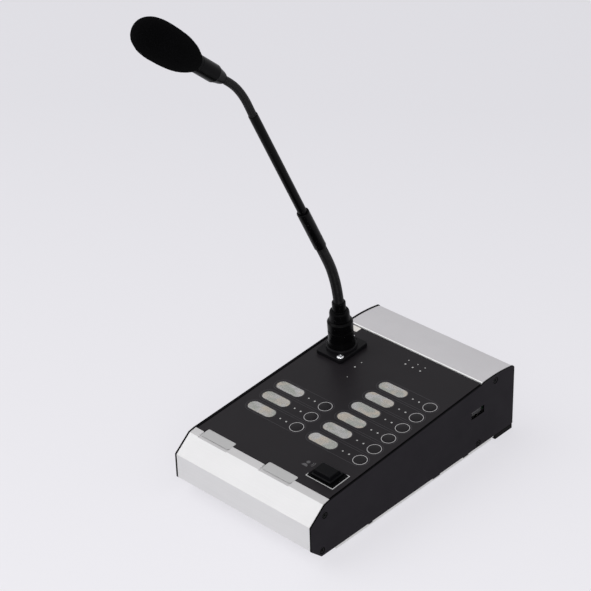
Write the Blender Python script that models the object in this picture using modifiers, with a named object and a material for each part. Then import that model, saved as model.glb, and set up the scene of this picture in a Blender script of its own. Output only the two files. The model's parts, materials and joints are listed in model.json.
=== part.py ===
"""Desk paging microphone: zone keys, talk key, plug-in gooseneck microphone.

Lengths are metres, +Z is up, +Y runs from the user to the back, +X is the user's right.
The side view of the housing is drawn as (y, z) points, with y = 0 at the front face.
Places on the key panel are (x, s, h): s runs up the panel's slope, h stands square to it.
"""

import math

import bpy
import bmesh
from mathutils import Matrix, Vector

# General
GAP = 0.0003                # clearance between neighbouring pieces
OVERRUN = 0.0010            # how far a cutting shape passes the face that it cuts
QUARTER = math.radians(90)
EDGE_ANGLE = math.radians(35)    # edges sharper than this are softened
MERGE = 1e-6                # points closer than this are one point

# Housing outline
WIDTH = 0.1363              # over both side plates
DEPTH = 0.2289
GROUND_GAP = 0.0049         # desk to the lower edge of the side plates
CHAMFER_RUN = 0.0105        # lower front corner, cut back
CHAMFER_RISE = 0.0098
FACE_HEIGHT = 0.0207        # upright front face above the chamfer
SLANT_RUN = 0.0201          # steep face and land between the upright face and the key panel
SLANT_RISE = 0.0129
LAND_RUN = 0.0054           # gently sloped land at the top of the steep face
LAND_RISE = 0.0011
PANEL_TILT = math.radians(3.74)
CAP_DEPTH = 0.0376          # aluminium cap at the back, lip to rear face

# Side plates
PLATE_THICKNESS = 0.0012
PLATE_RISE = 0.0004         # how far their edge stands above the key panel
PLATE_TABS = ((0.275, 0.0040), (0.600, 0.0080), (0.751, 0.0060))   # (share of the depth, width)
TAB_DEPTH = 0.0010          # how far the tabs on the lower edge reach into the tray
SCREW_SINK = 0.00025        # head below the plate's face
CROWN_SETBACK = 0.0269      # highest point of the rear curve, before the rear face
CROWN_RISE = 0.0016         # highest point above the panel line at the lip
CROWN_RADIUS = 0.1350
CORNER_RADIUS = 0.0030
CORNER_START = math.radians(75)  # where the rear corner leaves the crown
CURVE_STEPS = 6
CORNER_STEPS = 4

# Aluminium front rail and rear cap
RAIL_INSET = 0.0002         # rail surface behind the plate's edge
RAIL_WALL = 0.0020
RAIL_LIP = 0.0115           # lower lip behind the chamfer
RAIL_WEB = 0.0020           # between the upper screw port and the shelf
LAND_END = 0.0011           # end of the bright land in front of the printed film, up the slope
SHELF_LENGTH = 0.0075       # ledge that carries the key panel
CAP_INSET = 0.0004
CAP_WALL = 0.0020
CAP_LIP_RISE = 0.0009       # cap lip above the printed film
CAP_SKIRT = 0.0075          # rear skirt below the corner
PORT_RADIUS = 0.0032        # screw ports inside the extrusions
PORT_BORE = 0.0017

# Printed film, label strips and steel key panel (heights run down from the film's face)
FILM_THICKNESS = 0.00055
FILM_SKIN = 0.00020         # film left over the label pockets
FILM_MARGIN = 0.0014        # bare panel between the film and the side plates
PANEL_THICKNESS = 0.0012
STRIP_THICKNESS = 0.00025
STRIP_WIDTH = 0.0286
STRIP_CLEARANCE = 0.00010   # above the strip in its pocket
STRIP_START = 0.0016        # front end of the strips, up the slope
NOTCH_LENGTH = 0.00436      # pull notch in the film's front edge
NOTCH_RADIUS = 0.0020
NOTCH_MARGIN = 0.0005       # notch past each side of the strip
CHANNEL_REACH = 0.0080      # pull channel through the rail's land, before the panel
STRIP_TAIL = 0.0066         # strip and pocket past the last window's centre

# Keys and windows: columns are shares of the width, rows are shares of the panel's length
ROW_START_SHARE = 0.2756
ROW_PITCH_SHARE = 0.09104
RIGHT_ROWS = 6
LEFT_ROWS = 3
RIGHT_WINDOW_SHARE = 0.1361
LEFT_WINDOW_SHARE = -0.3189
RIGHT_KEY_SHARE = 0.3993
LEFT_KEY_SHARE = -0.0573
WINDOW_LENGTH = 0.0255
WINDOW_WIDTH = 0.0098
WINDOW_CORNER = 0.0048
KEY_RADIUS = 0.0047
KEY_RISE = 0.0006
KEY_CROWN = 0.0003          # edge of the key's face below its middle
KEY_CROWN_SHARE = 0.55      # where the crown has fallen by a quarter, as a share of the radius
KEY_FLANGE = 0.0060
KEY_FLANGE_THICKNESS = 0.0008
KEY_STEM_RADIUS = 0.0018
KEY_STEM_LENGTH = 0.0013
KEY_TRAVEL = 0.0005

# Talk key
TALK_SHARE = 0.3525
TALK_START = 0.01975        # centre, up the slope
TALK_LENGTH = 0.0182        # skirt, across the housing
TALK_WIDTH = 0.0144
TALK_HEIGHT = 0.0060        # finger pad above the film
TALK_SHOULDER = 0.0022      # top of the skirt above the film
TALK_PAD_SHARE = 0.82       # finger pad as a share of the skirt
TALK_DRAFT_SHARE = 0.92     # finger pad as a share of its own foot
TALK_TRAVEL = 0.0020
TALK_FLANGE = 0.0012
TALK_EDGE = 0.0006
BEZEL_BORDER = 0.0030
BEZEL_HEIGHT = 0.0009
BEZEL_COLLAR = 0.0008
BEZEL_CORNER = 0.0020

# Key board under the panel
BOARD_THICKNESS = 0.0016
KEY_BOARD_DROP = 0.0090     # film face to the top of the board
KEY_BOARD_LEFT_SHARE = -0.140
KEY_BOARD_RIGHT_SHARE = 0.455
KEY_BOARD_START = 0.0085
KEY_BOARD_MARGIN = 0.0120   # board past the last key's centre
SWITCH_SIZE = 0.0060
SWITCH_HEIGHT = 0.0022
SWITCH_PLUNGER = 0.0017
TALK_SWITCH_SIZE = 0.0100
STUD_RADIUS = 0.0025

# Microphone socket and its latch
SOCKET_SHARE = -0.3426
SOCKET_SETBACK = 0.0311     # socket axis before the cap's lip
FLANGE_WIDTH = 0.0265
FLANGE_LENGTH = 0.0320
FLANGE_TOP = 0.0036
FLANGE_CORNER = 0.0025
RIM_RADIUS = 0.0122
RIM_TOP = 0.0062
RIM_CHAMFER = 0.0010
SHELL_RADIUS = 0.0115
SHELL_BORE = 0.0098
SHELL_DEPTH = 0.0220
SOCKET_CORE = 0.0076
CORE_TOP = 0.0008
CORE_STEP = 0.0140          # film face down to the core's seat
SOCKET_SCREW_X = 0.0093
SOCKET_SCREW_S = 0.0120
SOCKET_SCREW_RADIUS = 0.0012
SOCKET_SCREW_HEAD = 0.0026
SOCKET_SCREW_DOME = 0.0012      # height of the head
SOCKET_SCREW_LENGTH = 0.0080
LATCH_WIDTH = 0.0070
LATCH_THICKNESS = 0.0013
LATCH_TOP = 0.0078
LATCH_STEP = 0.0015         # thickness of the step between the latch's arm and its tab
LATCH_DEPTH = 0.0120
LATCH_TRAVEL = 0.0010

# Microphone plug
PIN_COUNT = 3
PIN_CIRCLE = 0.0045
PIN_SPREAD = math.radians(100)   # between neighbouring pins
PIN_RADIUS = 0.0012
PIN_LENGTH = 0.0125
SLEEVE_DEPTH = 0.0135
SLEEVE_RADIUS = 0.0095
SLEEVE_BORE = 0.0080
PLUG_FOOT = 0.0109
PLUG_RADIUS = 0.01005
PLUG_GROOVE = 0.00955
PLUG_TOP = 0.0288
PLUG_FLARE_TOP = 0.0120
GROOVE_HEIGHT = 0.0200
COLLET_RADIUS = 0.0083
COLLET_TOP = 0.0372
FERRULE_RADIUS = 0.0054
FERRULE_TOP = 0.0450
PLUG_CAVITY = 0.0085        # film face up to the roof of the plug's cavity
PLUG_BORE = 0.0056
COLLET_NECK = 0.0100        # collet inside the plug shell

# Flexible lower neck
LOWER_RADIUS = 0.00408
LOWER_DOME = 0.0050         # radius of the ball faces between sections
LOWER_BORE = 0.0014
LOWER_FIRST_PIVOT = 0.0020  # above the ferrule
LOWER_PITCH = 0.0120        # pivot to pivot
LOWER_INSERT = 0.0120       # flex inside ferrule and sleeve
LOWER_TAIL = 0.0220         # last pivot to the sleeve
LOWER_LEANS = [math.radians(a) for a in (9.5, 15.0, 19.5, 26.1)]
RIB_PITCH = 0.0019
RIB_DEPTH = 0.00035

# Sleeve and stem tube
SLEEVE_TUBE_RADIUS = 0.00475
SLEEVE_TUBE_LENGTH = 0.0410
SLEEVE_TUBE_EDGE = 0.0008
STEM_RADIUS = 0.00345
STEM_BORE = 0.0024
STEM_INSERT = 0.0200
STEM_REACH = 0.1473         # sleeve's lower end to the stem's upper end

# Flexible upper neck
UPPER_RADIUS = 0.0030
UPPER_DOME = 0.0037
UPPER_BORE = 0.0010
UPPER_FIRST_PIVOT = 0.0040
UPPER_PITCH = 0.0100
UPPER_INSERT = 0.0060
UPPER_TAIL = 0.0130         # last pivot to the capsule housing
UPPER_LEANS = [math.radians(a) for a in (24.5, 31.3, 39.3, 50.0)]

# Capsule housing, capsule and foam windscreen
HOUSING_RADIUS = 0.0065
HOUSING_WALL = 0.00095
NECK_RADIUS = 0.0042
NECK_LENGTH = 0.0020
NECK_TAPER = 0.0050
HOUSING_GRIP = 0.0245       # bare housing between taper and foam
HOUSING_IN_FOAM = 0.0300
CAPSULE_SEAT = 0.0082
CAPSULE_LENGTH = 0.0062
FOAM_LENGTH = 0.0608
FOAM_RADIUS = 0.0139
FOAM_MOUTH = 0.0009         # rounding of the foam at its mouth
FOAM_SHARES = [             # (share of the length from the tip, share of the radius)
    (0.010, 0.27), (0.045, 0.54), (0.110, 0.77), (0.200, 0.915), (0.300, 0.985),
    (0.420, 1.000), (0.560, 0.985), (0.680, 0.950), (0.790, 0.865), (0.890, 0.745),
    (0.965, 0.600),
]

# Base tray, rear wall and main board
TRAY_SHEET = 0.0020
TRAY_JOGGLE = 0.0040
TRAY_FRONT = 0.0155
TRAY_EDGE_INSET = 0.00025   # floor's side edge inside the plate's outer face
FLOOR_START = 0.0260        # full-width floor under the plates, before the rear feet
FLOOR_END_GAP = 0.0047
REAR_WALL_SETBACK = 0.0027  # rear wall before the plates' rear edge
REAR_WALL_LAP = 0.0040      # rear wall behind the cap's skirt
TRAY_FLANGE_HEIGHT = 0.0090
TRAY_FLANGE_START = 0.0300
TRAY_FLANGE_END = 0.0060    # before the rear wall
SOCKET_CLEARANCE = 0.0010   # main board below the socket's lowest corner
MAIN_BOARD_START = 0.0800
MAIN_BOARD_MARGIN = 0.0040
CHIP_SIDE = 0.0140
CHIP_LENGTH = 0.0160
CHIP_WIDTH = 0.0100
CHIP_HEIGHT = 0.0014
CHIP_SPACING = 0.0260
CHIP_SETBACK = 0.0300       # chips behind the board's front edge
STANDOFF_RADIUS = 0.0028
STANDOFF_INSET = 0.0080     # from the ends of the main board
STANDOFF_SIDE = 0.0180      # from the sides of the tray

# Connectors
JACK_WIDTH = 0.0160
JACK_LENGTH = 0.0180
JACK_HEIGHT = 0.0134
JACK_PORT_WIDTH = 0.0118
JACK_PORT_HEIGHT = 0.0080
JACK_PORT_DEPTH = 0.0125
JACK_PORT_RISE = 0.0028
JACK_SHARES = (-0.30, -0.15)
HEADER_SETBACK = 0.0437     # centre of the side header before the rear face
HEADER_LENGTH = 0.0151
HEADER_HEIGHT = 0.0065
HEADER_RECESS = 0.0025
HEADER_BODY = 0.0085
HEADER_COLUMNS = 7
HEADER_ROWS = 2
HEADER_PITCH = 0.0020
HEADER_HOLE = 0.0009
HEADER_HOLE_DEPTH = 0.0030

# Side screws: places in the side view
SIDE_SCREW_HEAD = 0.0022
SIDE_SCREW_RADIUS = 0.0014
SIDE_SCREW_LENGTH = 0.0080
TRAY_SCREW_LENGTH = 0.0050
RAIL_SCREW_UP = (0.0147, 0.0340)     # (behind the front face, above the plates' lower edge)
RAIL_SCREW_LOW = (0.0115, 0.0046)
CAP_SCREW_SETBACK = 0.0229
CAP_SCREW_DROP = 0.0053              # below the crown
TRAY_SCREW_SETBACK = 0.0423
TRAY_SCREW_RISE = 0.0036

# Feet
FOOT_RADIUS = 0.0050
FOOT_EDGE = 0.0006
FRONT_FOOT_Y = 0.0330       # centre behind the front face, under the tray
REAR_FOOT_WIDTH = 0.0120
REAR_FOOT_LENGTH = 0.0212

# Worked-out heights and lengths
INNER_HALF = WIDTH / 2 - PLATE_THICKNESS
SPAN_HALF = INNER_HALF - GAP
FRONT_TOP = GROUND_GAP + CHAMFER_RISE + FACE_HEIGHT
SLOPE_START = Vector((SLANT_RUN, FRONT_TOP + SLANT_RISE))
PANEL_LENGTH = (DEPTH - CAP_DEPTH - SLANT_RUN) / math.cos(PANEL_TILT)
ROW_START = ROW_START_SHARE * PANEL_LENGTH
ROW_PITCH = ROW_PITCH_SHARE * PANEL_LENGTH
STEEL_TOP = -FILM_THICKNESS - GAP
STEEL_BOTTOM = STEEL_TOP - PANEL_THICKNESS
SHELF_TOP = STEEL_BOTTOM - GAP
PLATE_START = LAND_END + GAP
PLATE_END = PANEL_LENGTH - GAP
STRIP_TOP = -FILM_SKIN - STRIP_CLEARANCE
SOCKET_X = SOCKET_SHARE * WIDTH
SOCKET_S = PANEL_LENGTH - SOCKET_SETBACK
PANEL_HOLE = SHELL_RADIUS + GAP * 3
SOCKET_LOW = (SLOPE_START.y + SOCKET_S * math.sin(PANEL_TILT) - SHELL_DEPTH * math.cos(PANEL_TILT)
              - SHELL_RADIUS * math.sin(PANEL_TILT))
MAIN_BOARD_TOP = SOCKET_LOW - SOCKET_CLEARANCE
TRAY_BOTTOM = GROUND_GAP - GAP - TRAY_SHEET
REAR_WALL_Y = DEPTH - REAR_WALL_SETBACK

# Colour (linear), roughness, metallic
LOOKS = {
    "black_paint": ((0.022, 0.021, 0.025), 0.45, 0.0),
    "aluminium": ((0.80, 0.80, 0.81), 0.38, 1.0),
    "printed_film": ((0.028, 0.026, 0.029), 0.35, 0.0),
    "zinc_steel": ((0.55, 0.55, 0.53), 0.40, 1.0),
    "label_card": ((0.70, 0.68, 0.64), 0.70, 0.0),
    "black_plastic": ((0.010, 0.010, 0.011), 0.40, 0.0),
    "board_green": ((0.03, 0.16, 0.07), 0.50, 0.0),
    "nickel": ((0.72, 0.70, 0.66), 0.25, 1.0),
    "black_metal": ((0.012, 0.012, 0.013), 0.38, 0.6),
    "foam": ((0.005, 0.005, 0.005), 0.95, 0.0),
    "rubber": ((0.012, 0.012, 0.012), 0.85, 0.0),
}


def start_collections():
    """Empty the scene and make one collection for the pieces and one for the cutting shapes."""
    for old in list(bpy.data.objects):
        bpy.data.objects.remove(old)
    made = []
    for name in ("paging_microphone", "cutting_shapes"):
        collection = bpy.data.collections.new(name)
        bpy.context.scene.collection.children.link(collection)
        made.append(collection)
    return made


PIECES, CUTTING_SHAPES = start_collections()


# Side view geometry

def panel_point(s, h):
    """Side view of the point s up the key panel and h above its printed face."""
    along = Vector((math.cos(PANEL_TILT), math.sin(PANEL_TILT)))
    above = Vector((-math.sin(PANEL_TILT), math.cos(PANEL_TILT)))
    return SLOPE_START + along * s + above * h


def crossing(a, b, c, d):
    """Where the line through a and b meets the line through c and d."""
    first = b - a
    second = d - c
    scale = first.x * second.y - first.y * second.x
    offset = c - a
    share = (offset.x * second.y - offset.y * second.x) / scale
    return a + first * share


def offset_path(points, distance):
    """An open path moved to the left of its run, with mitred corners."""
    lines = []
    for start, end in zip(points, points[1:]):
        run = (end - start).normalized()
        side = Vector((-run.y, run.x)) * distance
        lines.append((start + side, end + side))
    moved = [lines[0][0]]
    for (a, b), (c, d) in zip(lines, lines[1:]):
        moved.append(crossing(a, b, c, d))
    moved.append(lines[-1][1])
    return moved


def arc(centre, radius, start, end, steps):
    """Points of an arc, angles in radians."""
    angles = [start + (end - start) * i / steps for i in range(steps + 1)]
    return [Vector((centre[0] + radius * math.cos(a), centre[1] + radius * math.sin(a))) for a in angles]


def rectangle(width, length, centre=(0.0, 0.0), corner=0.0, steps=4):
    """A closed rectangle, with round corners where a corner radius is given."""
    x, y = centre
    hx = width / 2 - corner
    hy = length / 2 - corner
    if corner == 0.0:
        return [Vector((x + i * hx, y + j * hy)) for i, j in ((1, 1), (-1, 1), (-1, -1), (1, -1))]
    points = []
    for turn, (i, j) in enumerate(((1, 1), (-1, 1), (-1, -1), (1, -1))):
        points += arc((x + i * hx, y + j * hy), corner, turn * QUARTER, (turn + 1) * QUARTER, steps)
    return points


def circle(radius, centre=(0.0, 0.0), steps=16):
    return arc(centre, radius, 0.0, 4 * QUARTER * (steps - 1) / steps, steps - 1)


def crown_curve(inset):
    """Rear curve of the plates and the cap, from the lip to the lower end of the rear corner."""
    lip = panel_point(PANEL_LENGTH, 0.0)
    crown = Vector((DEPTH - CROWN_SETBACK, lip.y + CROWN_RISE))
    centre = crown - Vector((0.0, CROWN_RADIUS))
    corner_y = DEPTH - CORNER_RADIUS
    radius = CROWN_RADIUS - inset
    first = math.acos((lip.x - centre.x) / radius)
    last = math.acos((corner_y - centre.x) / radius)
    points = arc(centre, radius, first, last, CURVE_STEPS)
    corner_z = centre.y + math.sqrt(CROWN_RADIUS ** 2 - (corner_y - centre.x) ** 2) - CORNER_RADIUS
    corner = arc((corner_y, corner_z), CORNER_RADIUS - inset, CORNER_START, 0.0, CORNER_STEPS)
    return points + corner


# Object makers

def finish(piece, look):
    """Give a piece its own material."""
    colour, roughness, metallic = LOOKS[look]
    material = bpy.data.materials.new(piece.name + "_finish")
    material.use_nodes = True
    shader = material.node_tree.nodes["Principled BSDF"]
    shader.inputs["Base Color"].default_value = (*colour, 1.0)
    shader.inputs["Roughness"].default_value = roughness
    shader.inputs["Metallic"].default_value = metallic
    material.diffuse_color = (*colour, 1.0)
    piece.data.materials.append(material)


def add_piece(name, mesh, look, parent, location=(0.0, 0.0, 0.0), rotation=(0.0, 0.0, 0.0)):
    mesh.name = name
    piece = bpy.data.objects.new(name, mesh)
    PIECES.objects.link(piece)
    piece.parent = parent
    piece.location = location
    piece.rotation_euler = rotation
    finish(piece, look)
    return piece


def add_helper(mesh, like):
    """A cutting or joining shape that stands in the frame of the piece it works on."""
    helper = bpy.data.objects.new(like.name + "_shape", mesh)
    CUTTING_SHAPES.objects.link(helper)
    helper.parent = like.parent
    helper.location = like.location
    helper.rotation_euler = like.rotation_euler
    helper.hide_render = True
    helper.display_type = "WIRE"
    return helper


def combine(piece, mesh, operation):
    modifier = piece.modifiers.new(operation.lower(), "BOOLEAN")
    modifier.operation = operation
    modifier.solver = "EXACT"
    modifier.object = add_helper(mesh, piece)


def cut(piece, mesh):
    combine(piece, mesh, "DIFFERENCE")


def join(piece, mesh):
    combine(piece, mesh, "UNION")


def soften(piece, width, segments=1):
    """Broken or rounded edges."""
    modifier = piece.modifiers.new("edges", "BEVEL")
    modifier.width = width
    modifier.segments = segments
    modifier.limit_method = "ANGLE"
    modifier.angle_limit = EDGE_ANGLE


def add_box(bm, size, centre):
    made = bmesh.ops.create_cube(bm, size=1.0)["verts"]
    bmesh.ops.scale(bm, vec=size, verts=made)
    bmesh.ops.translate(bm, vec=centre, verts=made)


def boxes(*items):
    """One mesh of separate boxes, each given as (size, centre)."""
    bm = bmesh.new()
    for size, centre in items:
        add_box(bm, size, centre)
    return finished_mesh(bm)


def add_rod(bm, radius, low, high, centre, axis, steps, top_radius):
    rod = bmesh.ops.create_cone(bm, cap_ends=True, segments=steps, radius1=radius, radius2=top_radius,
                                depth=high - low)["verts"]
    bmesh.ops.translate(bm, vec=(0.0, 0.0, (low + high) / 2), verts=rod)
    turn = Vector((0.0, 0.0, 1.0)).rotation_difference(Vector(axis)).to_matrix()
    bmesh.ops.rotate(bm, matrix=turn, verts=rod)
    bmesh.ops.translate(bm, vec=centre, verts=rod)


def rods(centres, radius, low, high, axis=(0.0, 0.0, 1.0), steps=16, top_radius=None):
    """One mesh of equal rods or cones that run from low to high along an axis through each centre."""
    bm = bmesh.new()
    for centre in centres:
        add_rod(bm, radius, low, high, centre, axis, steps, radius if top_radius is None else top_radius)
    return finished_mesh(bm)


def finished_mesh(bm):
    mesh = bpy.data.meshes.new("shape")
    bm.to_mesh(mesh)
    bm.free()
    return mesh


def slab(loops, thickness, rise=0.0):
    """A flat outline with holes, filled and given a thickness, with its lower face at rise."""
    curve = bpy.data.curves.new("outline", "CURVE")
    curve.dimensions = "2D"
    curve.fill_mode = "BOTH"
    curve.extrude = thickness / 2
    for loop in loops:
        spline = curve.splines.new("POLY")
        spline.points.add(len(loop) - 1)
        for place, point in zip(spline.points, loop):
            place.co = (point[0], point[1], 0.0, 1.0)
        spline.use_cyclic_u = True
    drawn = bpy.data.objects.new("outline", curve)
    bpy.context.scene.collection.objects.link(drawn)
    view = bpy.context.evaluated_depsgraph_get()
    mesh = bpy.data.meshes.new_from_object(drawn.evaluated_get(view))
    bpy.data.objects.remove(drawn)
    bm = bmesh.new()
    bm.from_mesh(mesh)
    bmesh.ops.remove_doubles(bm, verts=bm.verts, dist=MERGE)
    bmesh.ops.translate(bm, vec=(0.0, 0.0, rise + thickness / 2), verts=bm.verts)
    bm.to_mesh(mesh)
    bm.free()
    mesh.materials.clear()
    return mesh


def side_section(name, loops, look, parent, low, high):
    """A side-view outline run across the housing from x = low to x = high."""
    return add_piece(name, slab(loops, high - low, low), look, parent, rotation=(QUARTER, 0.0, QUARTER))


def profile_mesh(profile, closed):
    bm = bmesh.new()
    points = [bm.verts.new((radius, 0.0, height)) for radius, height in profile]
    for a, b in zip(points, points[1:]):
        bm.edges.new((a, b))
    if closed:
        bm.edges.new((points[-1], points[0]))
    return finished_mesh(bm)


def spin(piece, steps):
    modifier = piece.modifiers.new("turned", "SCREW")
    modifier.steps = steps
    modifier.render_steps = steps
    modifier.use_merge_vertices = True
    modifier.merge_threshold = MERGE


def turned(name, profile, look, parent, location=(0.0, 0.0, 0.0), rotation=(0.0, 0.0, 0.0), steps=24,
           closed=False):
    """A turned piece: its profile runs from the top down the outer side, then back up the bore."""
    piece = add_piece(name, profile_mesh(profile, closed), look, parent, location, rotation)
    spin(piece, steps)
    return piece


def ring_mesh(profile, steps=24):
    """Mesh of a turned ring, for joining to another piece."""
    helper = bpy.data.objects.new("ring", profile_mesh(profile, True))
    bpy.context.scene.collection.objects.link(helper)
    spin(helper, steps)
    view = bpy.context.evaluated_depsgraph_get()
    mesh = bpy.data.meshes.new_from_object(helper.evaluated_get(view))
    bpy.data.objects.remove(helper)
    return mesh


def add_empty(name, parent, location, rotation=(0.0, 0.0, 0.0)):
    empty = bpy.data.objects.new(name, None)
    PIECES.objects.link(empty)
    empty.parent = parent
    empty.location = location
    empty.rotation_euler = rotation
    return empty


# Housing

def side_screw_places():
    """Side view of the four screws of each side plate, with what each one holds."""
    lip = panel_point(PANEL_LENGTH, 0.0)
    return {
        "rail_upper": Vector((RAIL_SCREW_UP[0], GROUND_GAP + RAIL_SCREW_UP[1])),
        "rail_lower": Vector((RAIL_SCREW_LOW[0], GROUND_GAP + RAIL_SCREW_LOW[1])),
        "cap": Vector((DEPTH - CAP_SCREW_SETBACK, lip.y + CROWN_RISE - CAP_SCREW_DROP)),
        "tray": Vector((DEPTH - TRAY_SCREW_SETBACK, GROUND_GAP + TRAY_SCREW_RISE)),
    }


def front_edge():
    """Front outline of the side plates, from below the chamfer to the foot of the key panel."""
    fold = Vector((SLANT_RUN - LAND_RUN, SLOPE_START.y + PLATE_RISE - LAND_RISE))
    return [
        Vector((CHAMFER_RUN + RAIL_LIP, GROUND_GAP)),
        Vector((CHAMFER_RUN, GROUND_GAP)),
        Vector((0.0, GROUND_GAP + CHAMFER_RISE)),
        Vector((0.0, FRONT_TOP)),
        fold,
        panel_point(0.0, PLATE_RISE),
    ]


def plate_tabs(side):
    """Tabs on the lower edge of a side plate, a little thinner than the plate."""
    middle_x = side * (WIDTH - PLATE_THICKNESS) / 2
    return boxes(*[((width, TAB_DEPTH + OVERRUN, PLATE_THICKNESS - GAP),
                    (share * DEPTH, GROUND_GAP + (OVERRUN - TAB_DEPTH) / 2, middle_x))
                   for share, width in PLATE_TABS])


def make_side_plate(name, side, base):
    outline = front_edge()[1:] + [panel_point(PANEL_LENGTH - PLATE_THICKNESS / 2, PLATE_RISE)]
    outline += crown_curve(0.0)
    outline += [Vector((DEPTH, GROUND_GAP))]
    low, high = sorted((side * INNER_HALF, side * WIDTH / 2))
    plate = side_section(name, [outline], "black_paint", base, low, high)
    join(plate, plate_tabs(side))
    centres = [(place.x, place.y, side * WIDTH / 2) for place in side_screw_places().values()]
    cut(plate, rods(centres, SIDE_SCREW_RADIUS + GAP, -PLATE_THICKNESS - OVERRUN, OVERRUN,
                    axis=(0.0, 0.0, side), steps=12))
    seat_radius = SIDE_SCREW_RADIUS + GAP
    seat_depth = SIDE_SCREW_HEAD - SIDE_SCREW_RADIUS + GAP
    cut(plate, rods(centres, seat_radius, -seat_depth, OVERRUN, axis=(0.0, 0.0, side), steps=12,
                    top_radius=seat_radius + seat_depth + OVERRUN))
    return plate


def header_centre():
    return Vector((DEPTH - HEADER_SETBACK, MAIN_BOARD_TOP + GAP + HEADER_HEIGHT / 2))


def make_side_plates(base):
    make_side_plate("side_plate_left", -1, base)
    right = make_side_plate("side_plate_right", 1, base)
    centre = header_centre()
    cut(right, boxes(((HEADER_LENGTH, HEADER_HEIGHT, PLATE_THICKNESS + 2 * OVERRUN),
                      (centre.x, centre.y, WIDTH / 2 - PLATE_THICKNESS / 2))))


def make_side_screws(base):
    for side, side_name in ((-1, "left"), (1, "right")):
        for held, place in side_screw_places().items():
            length = TRAY_SCREW_LENGTH if held == "tray" else SIDE_SCREW_LENGTH
            sink = SIDE_SCREW_HEAD - SIDE_SCREW_RADIUS
            profile = [
                (0.0, -SCREW_SINK), (SIDE_SCREW_HEAD, -SCREW_SINK),
                (SIDE_SCREW_RADIUS, -SCREW_SINK - sink),
                (SIDE_SCREW_RADIUS, -length), (0.0, -length),
            ]
            turned(f"side_screw_{side_name}_{held}", profile, "black_metal", base,
                   (side * WIDTH / 2, place.x, place.y), (0.0, side * QUARTER, 0.0), steps=12)


def channel_mesh(centre, width):
    """Cutting shape of a pull channel through the land, level with the top of the steel panel."""
    far = LAND_END + OVERRUN
    loop = [panel_point(-CHANNEL_REACH, STEEL_TOP), panel_point(far, STEEL_TOP),
            panel_point(far, CHANNEL_REACH), panel_point(-CHANNEL_REACH, CHANNEL_REACH)]
    return slab([loop], width, centre - width / 2)


def make_front_rail(base):
    """Extrusion with a chamfered foot, a land level with the plates and a shelf under the panel."""
    skin = offset_path(front_edge(), -RAIL_INSET)
    land_height = PLATE_RISE - RAIL_INSET
    land_end = panel_point(LAND_END, land_height)
    land_start = crossing(skin[4], skin[5], panel_point(0.0, land_height), land_end)
    shelf_end = panel_point(SHELF_LENGTH, SHELF_TOP)
    shelf_start = crossing(skin[3], skin[4], panel_point(0.0, SHELF_TOP), shelf_end)
    outer = skin[:5] + [land_start, land_end, panel_point(LAND_END, SHELF_TOP), shelf_end]
    inner = offset_path(skin[:4] + [shelf_start, shelf_end], -RAIL_WALL)
    rail = side_section("front_rail", [outer + inner[::-1]], "aluminium", base, -SPAN_HALF, SPAN_HALF)
    places = side_screw_places()
    ports = [(places[key].x, places[key].y, 0.0) for key in ("rail_upper", "rail_lower")]
    join(rail, rods(ports, PORT_RADIUS, -SPAN_HALF, SPAN_HALF))
    upper = places["rail_upper"]
    web_top = panel_point(-LAND_RUN, SHELF_TOP - RAIL_WALL / 2).y
    join(rail, boxes(((RAIL_WEB, web_top - upper.y, 2 * SPAN_HALF), (upper.x, (web_top + upper.y) / 2, 0.0))))
    cut(rail, rods(ports, PORT_BORE, -WIDTH / 2, WIDTH / 2))
    for window_x, _, _ in columns():
        cut(rail, channel_mesh(window_x, STRIP_WIDTH + 2 * NOTCH_MARGIN))
    return rail


def make_rear_cap(base):
    curve = crown_curve(CAP_INSET)
    lip_top = panel_point(PANEL_LENGTH, CAP_LIP_RISE)
    skirt_end = Vector((curve[-1].x, curve[-1].y - CAP_SKIRT))
    outer = [panel_point(PANEL_LENGTH - SHELF_LENGTH, SHELF_TOP), panel_point(PANEL_LENGTH, SHELF_TOP)]
    outer += [lip_top] + curve[1:] + [skirt_end]
    inner = offset_path(outer, -CAP_WALL)
    cap = side_section("rear_cap", [outer + inner[::-1]], "aluminium", base, -SPAN_HALF, SPAN_HALF)
    place = side_screw_places()["cap"]
    port = [(place.x, place.y, 0.0)]
    join(cap, rods(port, PORT_RADIUS, -SPAN_HALF, SPAN_HALF))
    cut(cap, rods(port, PORT_BORE, -WIDTH / 2, WIDTH / 2))
    return cap


def tray_path():
    """Under-side and rear face of the folded tray, front to back and up."""
    lip_z = GROUND_GAP + RAIL_INSET + RAIL_WALL + GAP
    step_y = CHAMFER_RUN + RAIL_LIP + GAP * 2
    top_z = crown_curve(CAP_INSET)[-1].y - CAP_SKIRT + REAR_WALL_LAP
    return [
        Vector((TRAY_FRONT, lip_z)), Vector((step_y, lip_z)),
        Vector((step_y + TRAY_JOGGLE, TRAY_BOTTOM)), Vector((REAR_WALL_Y, TRAY_BOTTOM)),
        Vector((REAR_WALL_Y, top_z)),
    ]


def jack_centre(share):
    """Centre of a rear connector across the housing and its seat on the main board."""
    return (share * WIDTH, REAR_WALL_Y - GAP, MAIN_BOARD_TOP + GAP)


def standoff_places():
    x = SPAN_HALF - STANDOFF_SIDE
    rear = REAR_WALL_Y - TRAY_SHEET - MAIN_BOARD_MARGIN - STANDOFF_INSET
    return [(side * x, y) for side in (-1, 1) for y in (MAIN_BOARD_START + STANDOFF_INSET, rear)]


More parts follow.
